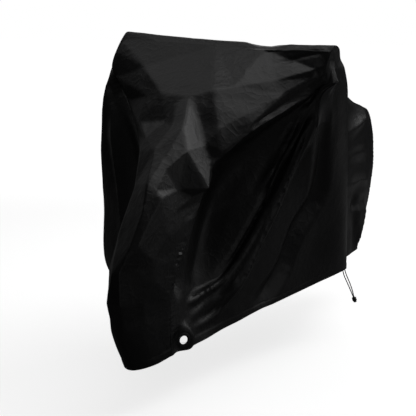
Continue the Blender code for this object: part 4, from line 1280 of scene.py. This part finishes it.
def make_wardrobe() -> Wardrobe:
    """Build every material of the cover.

    Returns:
        The materials.
    """
    effects = shared_effects()
    return Wardrobe(
        cloth=ClothFinish().material("coated_cloth", effects),
        tape=TapeFinish((0.016, 0.016, 0.018), 0.62, 0.0011, 0.00018).material("woven_tape", effects),
        thread=TapeFinish((0.018, 0.018, 0.019), 0.55, 0.0004, 0.00006).material("sewing_thread", effects),
        ring=MouldedFinish((0.020, 0.020, 0.022), (0.30, 0.42)).material("eyelet_black"),
        cord=BraidFinish().material("drawcord_black", effects),
        # the plunger's light grey is a painted highlight, standing in for the light spot on the toggle
        toggle=MouldedFinish((0.016, 0.016, 0.017), (0.34, 0.48)).material("toggle_black"),
        button=MouldedFinish((0.150, 0.150, 0.155), (0.28, 0.38)).material("toggle_button_painted_highlight"),
    )


# ---------------------------------------------------------------------------------------------
# Stitches
# ---------------------------------------------------------------------------------------------


class Stitches:
    """Short threads laid along lines over the cloth, gathered into one mesh."""

    PITCH = 0.0032
    SHARE = 0.74             # the part of each pitch that the thread shows
    LEAD = 0.13              # the part of a pitch before the first thread
    RADIUS = 0.00032
    RISE = 0.6               # how far a thread stands out of the cloth, in radii
    TAPER = 0.15             # the part of a thread over which each end dives into the cloth
    SIDES = 5

    def __init__(self) -> None:
        """Start with no threads."""
        self.points: list[Array] = []
        self.faces: list[list[int]] = []

    def along(self, line: Array, normals: Array) -> None:
        """Lay a row of stitches.

        Args:
            line: points over the cloth.
            normals: the cloth's normals there.
        """
        run = np.concatenate(([0.0], np.cumsum(np.linalg.norm(np.diff(line, axis=0), axis=1))))
        count = int(run[-1] / self.PITCH)
        starts = (np.arange(count) + self.LEAD) * self.PITCH

        def at(values: Array, place: Array) -> Array:
            """Values of the line at distances along it."""
            return np.stack([np.interp(place, run, values[:, k]) for k in range(3)], axis=1)

        length = self.SHARE * self.PITCH
        first, last = at(line, starts), at(line, starts + length)
        up = unit(at(normals, starts + length / 2))
        forward = unit(last - first)
        side = unit(np.cross(forward, up))
        angles = np.arange(self.SIDES) * math.tau / self.SIDES
        ring = (np.cos(angles)[None, :, None] * side[:, None] + np.sin(angles)[None, :, None] * up[:, None])
        ring = ring * self.RADIUS
        rise = up[:, None] * self.RADIUS * self.RISE
        rings = [first[:, None] + forward[:, None] * self.TAPER * length + ring + rise,
                 last[:, None] - forward[:, None] * self.TAPER * length + ring + rise]
        tips = [first[:, None] - up[:, None] * self.RADIUS, last[:, None] - up[:, None] * self.RADIUS]
        block = np.concatenate((*rings, *tips), axis=1)
        size = block.shape[1]
        base = sum(len(part) for part in self.points)
        n = self.SIDES
        pattern = [[k, (k + 1) % n, n + (k + 1) % n, n + k] for k in range(n)]
        caps = [[(k + 1) % n, k, 2 * n] for k in range(n)]
        caps += [[n + k, n + (k + 1) % n, 2 * n + 1] for k in range(n)]
        for stitch in range(count):
            start = base + stitch * size
            self.faces += [[start + corner for corner in face] for face in pattern + caps]
        self.points.append(block.reshape(-1, 3))

    def add_to_scene(self, name: str, material: bpy.types.Material) -> bpy.types.Object:
        """Make the piece out of all the threads so far.

        Args:
            name: the piece's name.
            material: the thread's finish.

        Returns:
            The piece.
        """
        mesh = finished_mesh(name, np.concatenate(self.points), self.faces)
        LOG.info("%s: %d faces", name, len(self.faces))
        return add_piece(name, mesh, material)


def line_inside(sheet: ClothSheet, edge: Edge, axis: int, distance: float) -> tuple[Array, Array]:
    """A line over a sheet at a distance from one of its edges.

    Args:
        sheet: the panel.
        edge: its edge.
        axis: 0 for an edge along a row, 1 for one along a column.
        distance: how far in the line runs.

    Returns:
        The line's points and the cloth's normals there.
    """
    away = edge.away if axis == 1 else edge.away.T
    grid = sheet.grid if axis == 1 else sheet.grid.swapaxes(0, 1)
    normals = sheet.normals if axis == 1 else sheet.normals.swapaxes(0, 1)
    columns = np.arange(away.shape[1])
    points, ups = [], []
    for distances, row, up in zip(away, grid, normals):
        order = slice(None) if distances[0] <= distances[-1] else slice(None, None, -1)
        place = np.interp(distance, distances[order], columns[order])
        points.append([np.interp(place, columns, row[:, k]) for k in range(3)])
        ups.append([np.interp(place, columns, up[:, k]) for k in range(3)])
    return np.array(points), np.array(ups)


# ---------------------------------------------------------------------------------------------
# Sub-assemblies
# ---------------------------------------------------------------------------------------------


@dataclass(frozen=True)
class Eyelet:
    """A lock eyelet in the front corner of a side panel."""

    side: Side
    centre: Point
    facing: Point
    hole: float = 0.0150
    flat: float = 0.0250
    fade: float = 0.0600
    bore: float = 0.0125
    rim: float = 0.0215
    lip: float = 0.0016
    seat: tuple[float, float] = (0.0003, -0.0017)    # where the lips grip the cloth, over and under it
    roundness: float = 0.7
    reach: float = 0.1500    # cloth further off than this stays as it is
    turns: int = 64

    def flatten(self, sheet: ClothSheet) -> None:
        """Press the cloth flat round the eyelet, and fade back to its own shape further out.

        Args:
            sheet: the side panel.
        """
        axis = unit(self.facing)
        apart = sheet.grid - self.centre
        rise = apart @ axis
        radius = np.linalg.norm(apart - rise[..., None] * axis, axis=2)
        radius[np.linalg.norm(apart, axis=2) > self.reach] = np.inf
        share = smooth_step((self.fade - radius) / (self.fade - self.flat))
        sheet.grid = sheet.grid - (rise * share)[..., None] * axis
        sheet.normals = sheet.faced()

    def cloth_cells(self, sheet: ClothSheet) -> Array:
        """Which cells of a sheet are left when the eyelet's hole is punched."""
        middles = (sheet.grid[:-1, :-1] + sheet.grid[1:, 1:]) / 2.0
        return np.linalg.norm(middles - self.centre, axis=2) > (self.hole + self.rim) / 2.0

    def build(self, wardrobe: Wardrobe) -> bpy.types.Object:
        """The moulded ring, with two rounded lips that grip the cloth.

        Args:
            wardrobe: the materials.

        Returns:
            The piece.
        """
        half = (self.rim - self.bore) / 2.0
        centre = (self.rim + self.bore) / 2.0
        profile = []
        for edge, crown in ((1.0, self.seat[0] + self.lip), (-1.0, self.seat[1] - self.lip)):
            for angle in np.linspace(0.0, math.pi, 9):
                drop = self.lip * (1.0 - math.sin(angle) ** self.roundness)
                profile.append((centre - edge * half * math.cos(angle), crown - edge * drop))
        word = self.side.panel.value
        name = f"{word}_eyelet_ring"
        mesh = turned_mesh(name, np.array(profile), self.turns)
        piece = add_piece(name, mesh, wardrobe.ring)
        piece.matrix_world = facing(self.centre, self.facing)
        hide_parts(f"{word}_eyelet")
        LOG.info("%s: %d turns", name, self.turns)
        return piece


EYELETS = {
    Side.NEAR: Eyelet(Side.NEAR, (0.092, -0.455, 0.178), (0.80, -0.58, -0.05)),
    Side.FAR: Eyelet(Side.FAR, (-0.098, -0.412, 0.172), (-0.90, -0.43, -0.03)),
}


@dataclass(frozen=True)
class Crumple:
    """One size of crumples over the cloth."""

    wavelength: float
    height: float
    ways: int


@dataclass
class Cover:
    """The three cloth panels, sewn together."""

    crumple_sizes: tuple[Crumple, ...] = (Crumple(0.150, 0.0024, 2), Crumple(0.060, 0.0009, 2),
                                          Crumple(0.026, 0.0003, 2))
    pucker_depth: float = 0.0016
    pucker_pitch: float = 0.013
    patch_corner: tuple[float, float] = (0.4, 0.6667)    # the patch's upper and rear edges, as row and line
    patch_gap: float = 0.00005
    patch_lift: float = 0.0009
    stitch_inset: float = 0.0032

    def __post_init__(self) -> None:
        """Lay out the smooth surfaces and fold them."""
        self.shape = CoverShape()
        self.sheets = {Panel.STRIP: ClothSheet(self.shape.strip_grid(), -1)}
        for side in Side:
            self.sheets[side.panel] = ClothSheet(self.shape.side_grid(side), -side.value)
        net = CreaseNet(FRONT_CREASES, FACET_EDGE)
        net.press(self.sheets[Panel.STRIP], self.shape.stations, self.shape.across)
        for panel in Panel:
            self._fold(panel)
        for side in Side:
            EYELETS[side].flatten(self.sheets[side.panel])
        self._join()

    def _fold(self, panel: Panel) -> None:
        """Give a panel its folds, crumples, puckers and hems.

        Args:
            panel: which panel.
        """
        sheet, seed = self.sheets[panel], CRUMPLE_SEEDS[panel]
        heights = sheet.folded(MAIN_FOLDS[panel])
        for axis, end in panel.seams:
            line = sheet.grid[end:end + 1 or None] if axis == 0 else sheet.grid[:, end:end + 1 or None]
            heights *= smooth_step(np.linalg.norm(sheet.grid - line, axis=2) / SEAM_CALM)
        sheet.lift(heights)
        edges = [edge_of(sheet, axis, end) for axis, end in panel.seams]
        heights = sheet.folded(DETAIL_FOLDS[panel])
        for k, size in enumerate(self.crumple_sizes):
            heights += size.height * crumples(sheet.grid, size.wavelength, seed + 10 * k, size.ways)
        calm = np.ones(sheet.grid.shape[:2])
        for edge in edges:
            calm *= smooth_step(edge.away / DETAIL_CALM)
        heights *= calm
        gathers = self._gathers(sheet)
        for k, edge in enumerate(edges):
            gathered = puckers(edge, self.pucker_depth, self.pucker_pitch, seed + k) * gathers
            heights += gathered + seam_dip(edge)
        for axis, end in panel.hems:
            heights += hem_casing(edge_of(sheet, axis, end))
        sheet.lift(heights)

    @staticmethod
    def _gathers(sheet: ClothSheet) -> Array:
        """How strongly the seams gather each point: not at the grips, and most on the tight stretch.

        Args:
            sheet: the panel.

        Returns:
            The shares, one for each point.
        """
        share = np.ones(sheet.grid.shape[:2])
        for grip in GRIPS:
            share *= smooth_step((np.linalg.norm(sheet.grid - grip, axis=2) - GRIP_CALM[0]) / GRIP_CALM[1])
        tight = np.linalg.norm(sheet.grid - TIGHT_SEAM, axis=2) / TIGHT_REACH
        return share * (1.0 + TIGHT_GAIN * np.exp(-tight ** 2))

    def _join(self) -> None:
        """Bring the edges that are sewn together onto one line."""
        strip = self.sheets[Panel.STRIP].grid
        for side, column in ((Side.NEAR, -1), (Side.FAR, 0)):
            panel = self.sheets[side.panel].grid
            border = np.concatenate((panel[:, 0], panel[-1, 1:], panel[-2::-1, -1]))
            shared = (border + strip[:, column]) / 2.0
            rows, columns = panel.shape[:2]
            strip[:, column] = shared
            panel[:, 0] = shared[:rows]
            panel[-1] = shared[rows - 1:rows - 1 + columns]
            panel[:, -1] = shared[rows + columns - 2:][::-1]

    def _inner(self, panel: Panel) -> Array:
        """The inner face of a panel, whose hems are folded double.

        Args:
            panel: which panel.

        Returns:
            The points, shaped like its grid.
        """
        sheet = self.sheets[panel]
        away = np.minimum.reduce([sheet.from_edge(axis, end) for axis, end in panel.hems])
        doubled = smooth_step((HEM_WIDTH - away) / HEM_STEP)
        return sheet.under(CLOTH + (HEM_CLOTH - CLOTH) * doubled)

    def _add_cloth(self, panel: Panel, node: str, cells: Array | None,
                   wardrobe: Wardrobe) -> bpy.types.Object:
        """Make a panel's piece.

        Args:
            panel: which panel.
            node: the solid that it replaces.
            cells: which cells of its grid are cloth; all of them if None.
            wardrobe: the materials.

        Returns:
            The piece.
        """
        name = f"{panel.value}_cloth"
        mesh = shell_mesh(name, self.sheets[panel].grid, self._inner(panel), cells)
        piece = add_piece(name, mesh, wardrobe.cloth)
        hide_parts(node)
        LOG.info("%s: %d faces", name, len(mesh.polygons))
        return piece

    def build_strip(self, wardrobe: Wardrobe) -> bpy.types.Object:
        """The long strip's piece."""
        return self._add_cloth(Panel.STRIP, "long_strip", None, wardrobe)

    def build_side(self, side: Side, wardrobe: Wardrobe) -> tuple[bpy.types.Object, bpy.types.Object]:
        """A side panel and the patch sewn on it round the eyelet.

        Args:
            side: which side.
            wardrobe: the materials.

        Returns:
            The panel and the patch.
        """
        cells = EYELETS[side].cloth_cells(self.sheets[side.panel])
        panel = self._add_cloth(side.panel, f"{side.panel.value}_panel", cells, wardrobe)
        return panel, self._build_patch(side, cells, wardrobe)

    def _build_patch(self, side: Side, cells: Array, wardrobe: Wardrobe) -> bpy.types.Object:
        """The doubled cloth round an eyelet.

        Args:
            side: which side.
            cells: which cells of the side panel's grid are cloth.
            wardrobe: the materials.

        Returns:
            The patch.
        """
        sheet, word = self.sheets[side.panel], side.panel.value
        rows = self.shape.line_at(self.shape.rows, self.patch_corner[0]) + 1
        columns = self.shape.line_at(self.shape.lines, self.patch_corner[1]) + 1
        part = (slice(0, rows), slice(1, columns))
        low = sheet.grid[part] + sheet.normals[part] * self.patch_gap
        high = sheet.grid[part] + sheet.normals[part] * self.patch_lift
        mesh = shell_mesh(f"{word}_patch_cloth", high, low, cells[:rows - 1, 1:columns - 1])
        patch = add_piece(f"{word}_patch_cloth", mesh, wardrobe.cloth)
        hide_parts(f"{word}_eyelet_patch")
        return patch

    def stitch(self, wardrobe: Wardrobe) -> dict[Panel, bpy.types.Object]:
        """The stitches beside every seam and along the hems, one piece for each panel.

        Args:
            wardrobe: the materials.

        Returns:
            The pieces by panel.
        """
        pieces = {}
        for panel, sheet in self.sheets.items():
            stitches = Stitches()
            for edges, inset in ((panel.seams, self.stitch_inset), (panel.hems, HEM_WIDTH)):
                for axis, end in edges:
                    stitches.along(*line_inside(sheet, edge_of(sheet, axis, end), axis, inset))
            pieces[panel] = stitches.add_to_scene(f"{panel.value}_stitches", wardrobe.thread)
        return pieces


@dataclass
class GripTape:
    """The woven tape sewn on the near panel under the grip."""

    lines: tuple[float, float] = (3.0, 4.0)      # from front to back
    rows: tuple[float, float] = (3.4, 4.667)     # from its lower to its upper end
    clearance: float = 0.0003
    thickness: float = 0.0014
    inset: float = 0.0025

    def build(self, cover: Cover, wardrobe: Wardrobe) -> list[bpy.types.Object]:
        """The tape and its stitches.

        Args:
            cover: the cloth that it lies on.
            wardrobe: the materials.

        Returns:
            The two pieces.
        """
        sheet, shape = cover.sheets[Panel.NEAR], cover.shape
        first_row, last_row = (shape.line_at(shape.rows, row) for row in self.rows)
        first, last = (shape.line_at(shape.lines, line) for line in self.lines)
        part = (slice(first_row, last_row + 1), slice(first, last + 1))
        low = sheet.grid[part] + sheet.normals[part] * self.clearance
        top = low + sheet.normals[part] * self.thickness
        mesh = shell_mesh("tape_on_cloth", top, low)
        tape = add_piece("tape_on_cloth", mesh, wardrobe.tape)
        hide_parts("grip_tape")
        upper = ClothSheet(top, sheet.turn)
        stitches = Stitches()
        for axis, end in ((0, 0), (0, -1), (1, 0), (1, -1)):
            stitches.along(*line_inside(upper, edge_of(upper, axis, end), axis, self.inset))
        LOG.info("tape_on_cloth: %d faces", len(mesh.polygons))
        return [tape, stitches.add_to_scene("tape_stitches", wardrobe.thread)]


@dataclass
class CordLock:
    """The barrel toggle at the drawcord's end, with a sprung button whose light grey is a painted highlight.
    """

    # profiles from the cord's end down, as parts of the radius and of the length
    BARREL = ((0.00, 0.00), (0.66, 0.00), (0.74, 0.012), (0.96, 0.11), (1.00, 0.15), (1.00, 0.26),
              (0.93, 0.28), (0.93, 0.31), (1.00, 0.33), (1.00, 0.40), (0.93, 0.42), (0.93, 0.45),
              (1.00, 0.47), (1.00, 0.68), (0.95, 0.72), (0.80, 0.74), (0.00, 0.74))
    BUTTON = ((0.00, 0.742), (0.66, 0.742), (0.66, 0.90), (0.62, 0.95), (0.50, 0.98), (0.25, 1.00),
              (0.00, 1.00))

    top: Point = (0.2772, 0.4580, 0.1354)
    axis: Point = (0.36, 0.04, -0.93)
    radius: float = 0.0075
    length: float = 0.0190
    turns: int = 48

    def build(self, wardrobe: Wardrobe) -> list[bpy.types.Object]:
        """The barrel and the button.

        Args:
            wardrobe: the materials.

        Returns:
            Both pieces.
        """
        pieces = []
        for name, profile, finish in (("toggle_barrel", self.BARREL, wardrobe.toggle),
                                      ("toggle_plunger", self.BUTTON, wardrobe.button)):
            mesh = turned_mesh(name, np.array(profile) * (self.radius, self.length), self.turns)
            piece = add_piece(name, mesh, finish)
            piece.matrix_world = facing(self.top, self.axis)
            pieces.append(piece)
        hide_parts("cord_toggle")
        LOG.info("toggle_barrel: %d turns", self.turns)
        return pieces


@dataclass
class Drawcord:
    """One strand of the drawcord, from the hem to the toggle."""

    name: str
    node: str
    route: tuple[Point, ...]
    diameter: float = 0.0035
    points: int = 60

    def build(self, wardrobe: Wardrobe, with_pieces: list[bpy.types.Object]) -> bpy.types.Object:
        """Args:
            wardrobe: the materials.
            with_pieces: what hangs on it; not used.

        Returns:
            The strand.
        """
        line = sampled_curve(self.route, self.points) - (0.0, 0.0, BAR_HEIGHT)
        curve = bpy.data.curves.new(self.name, "CURVE")
        curve.dimensions = "3D"
        curve.bevel_depth = self.diameter / 2.0
        curve.bevel_resolution = 4
        curve.use_fill_caps = True
        spline = curve.splines.new("POLY")
        spline.points.add(self.points - 1)
        for point, place in zip(spline.points, line):
            point.co = (*place, 1.0)
        piece = add_piece(self.name, curve, wardrobe.cord)
        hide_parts(self.node)
        return piece


DRAWCORDS = (
    Drawcord("front_strand", "drawcord_front",
             ((0.2500, 0.4225, 0.2300), (0.2530, 0.4280, 0.2120), (0.2622, 0.4405, 0.1820),
              (0.2688, 0.4500, 0.1590), (0.2764, 0.4568, 0.1360))),
    Drawcord("rear_strand", "drawcord_rear",
             ((0.2495, 0.4425, 0.2300), (0.2545, 0.4465, 0.2110), (0.2650, 0.4545, 0.1810),
              (0.2715, 0.4590, 0.1585), (0.2776, 0.4592, 0.1360))),
)


# ---------------------------------------------------------------------------------------------
# Studio
# ---------------------------------------------------------------------------------------------


@dataclass(frozen=True)
class SoftLight:
    """A rectangular soft light that shines at a point."""

    name: str
    place: Point
    aim: Point
    size: tuple[float, float]
    power: float

    def build(self) -> None:
        """Put the light into the scene."""
        data = bpy.data.lights.new(self.name, "AREA")
        data.shape = "RECTANGLE"
        data.size, data.size_y = self.size
        data.energy = self.power
        light = bpy.data.objects.new(self.name, data)
        light.visible_camera = False
        light.location = self.place
        light.rotation_euler = (Vector(self.aim) - Vector(self.place)).to_track_quat("-Z", "Y").to_euler()
        bpy.context.scene.collection.objects.link(light)


@dataclass
class Studio:
    """The camera, the floor, the backdrop and the lights."""

    camera_place: Point = (1.743, -3.697, 0.124)
    azimuth: float = 25.9
    pitch: float = 8.9
    lens: float = 113.7
    film_width: float = 36.0
    floor_half: float = 30.0
    floor_colour: Point = (0.86, 0.86, 0.86)
    floor_bounce: Point = (0.15, 0.15, 0.15)
    floor_glow: float = 0.78
    glow_ramp: tuple[float, float] = (3.0, 5.5)    # distances over which it turns into the backdrop
    backdrop: float = 1.0
    ambient: float = 0.03
    lights: tuple[SoftLight, ...] = (
        SoftLight("overhead", (0.95, 0.4, 2.4), (0.2, 0.1, 0.0), (2.6, 3.0), 20.0),
        SoftLight("overhead_left", (-1.25, 0.5, 2.3), (0.0, 0.1, 0.0), (1.8, 3.0), 5.0),
        SoftLight("back_high", (1.6, 2.6, 1.9), (0.0, 0.0, -0.1), (2.6, 2.2), 24.0),
        SoftLight("back_left", (-1.2, 3.8, 1.2), (0.0, 0.0, -0.2), (2.6, 2.4), 10.0),
        SoftLight("back_right", (3.0, 3.2, 0.7), (0.0, 0.2, -0.2), (2.4, 2.6), 5.0),
        SoftLight("right_fill", (4.2, -0.2, 0.2), (0.0, 0.1, -0.3), (2.0, 2.4), 4.0),
        SoftLight("left_fill", (-3.8, 2.4, 0.2), (0.0, 0.1, -0.3), (2.0, 2.4), 1.0),
        SoftLight("front_low", (0.5, -1.9, -0.99), (0.3, -1.6, 0.6), (2.4, 1.6), 3.0),
        SoftLight("back_low", (0.5, 1.9, -0.99), (0.5, 1.7, 0.6), (2.4, 1.8), 0.6),
    )

    def place_camera(self) -> None:
        """Stand the camera and make it the scene's own."""
        data = bpy.data.cameras.new("camera")
        data.lens = self.lens
        data.sensor_width = self.film_width
        camera = bpy.data.objects.new("camera", data)
        turn, drop = math.radians(self.azimuth), math.radians(self.pitch)
        aim = Vector((-math.sin(turn) * math.cos(drop), math.cos(turn) * math.cos(drop), -math.sin(drop)))
        camera.location = self.camera_place
        camera.rotation_euler = aim.to_track_quat("-Z", "Y").to_euler()
        bpy.context.scene.collection.objects.link(camera)
        bpy.context.scene.camera = camera
        bpy.context.scene.view_settings.view_transform = "Standard"

    def build_floor(self) -> None:
        """A wide pale floor, which glows where the camera sees it and fades into the backdrop."""
        mesh = bpy.data.meshes.new("studio_floor")
        half = self.floor_half
        corners = [(-half, -half), (half, -half), (half, half), (-half, half)]
        mesh.from_pydata([(x, y, -BAR_HEIGHT) for x, y in corners], [], [(0, 1, 2, 3)])
        material, nodes, shader = blank_material("studio_floor")
        seen = nodes.add("ShaderNodeLightPath").outputs["Is Camera Ray"]
        colour = nodes.add("ShaderNodeMix", data_type="RGBA", _0=seen, _6=(*self.floor_bounce, 1.0),
                           _7=(*self.floor_colour, 1.0))
        material.node_tree.links.new(colour.outputs[2], shader.inputs["Base Color"])
        place = nodes.add("ShaderNodeNewGeometry").outputs["Position"]
        away = nodes.add("ShaderNodeVectorMath", operation="LENGTH", _0=place).outputs["Value"]
        glow = nodes.add("ShaderNodeMapRange", interpolation_type="SMOOTHSTEP", _0=away, _1=self.glow_ramp[0],
                         _2=self.glow_ramp[1], _3=self.floor_glow, _4=self.backdrop).outputs[0]
        strength = nodes.maths("MULTIPLY", seen, glow)
        material.node_tree.links.new(strength, shader.inputs["Emission Strength"])
        shader.inputs["Emission Color"].default_value = (1.0, 1.0, 1.0, 1.0)
        shader.inputs["Roughness"].default_value = 1.0
        shader.inputs["Specular IOR Level"].default_value = 0.0
        mesh.materials.append(material)
        floor = bpy.data.objects.new("studio_floor", mesh)
        bpy.context.scene.collection.objects.link(floor)

    def build_world(self) -> None:
        """A plain pale world: bright where the camera sees it, and dimmer as a light."""
        world = bpy.data.worlds.new("studio_world")
        bpy.context.scene.world = world
        world.use_nodes = True
        nodes = Nodes(world.node_tree)
        shader = world.node_tree.nodes["Background"]
        seen = nodes.add("ShaderNodeLightPath").outputs["Is Camera Ray"]
        strength = nodes.span(seen, self.ambient, self.backdrop)
        shader.inputs["Color"].default_value = (1.0, 1.0, 1.0, 1.0)
        world.node_tree.links.new(strength, shader.inputs["Strength"])

    def build_lights(self) -> None:
        """Every soft light."""
        for light in self.lights:
            light.build()


@dataclass(frozen=True)
class Cut:
    """The flat size that a panel was cut to: width, length and area."""

    width: float
    length: float
    area: float


def main() -> None:
    """Build the scene."""
    logging.basicConfig(level=logging.INFO, format="%(message)s")
    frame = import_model()
    studio = Studio()
    studio.place_camera()
    wardrobe = make_wardrobe()
    toggle = CordLock().build(wardrobe)
    for strand in DRAWCORDS:
        strand.build(wardrobe, toggle)
    cover = Cover()
    stitches = cover.stitch(wardrobe)
    strip = cover.build_strip(wardrobe)
    for side in Side:
        panel, patch = cover.build_side(side, wardrobe)
        ring = EYELETS[side].build(wardrobe)
        added = [patch, ring, stitches[side.panel]]
        if side is Side.NEAR:
            added += GripTape().build(cover, wardrobe)
    studio.build_floor()
    studio.build_world()
    studio.build_lights()


if __name__ == "__main__":
    main()
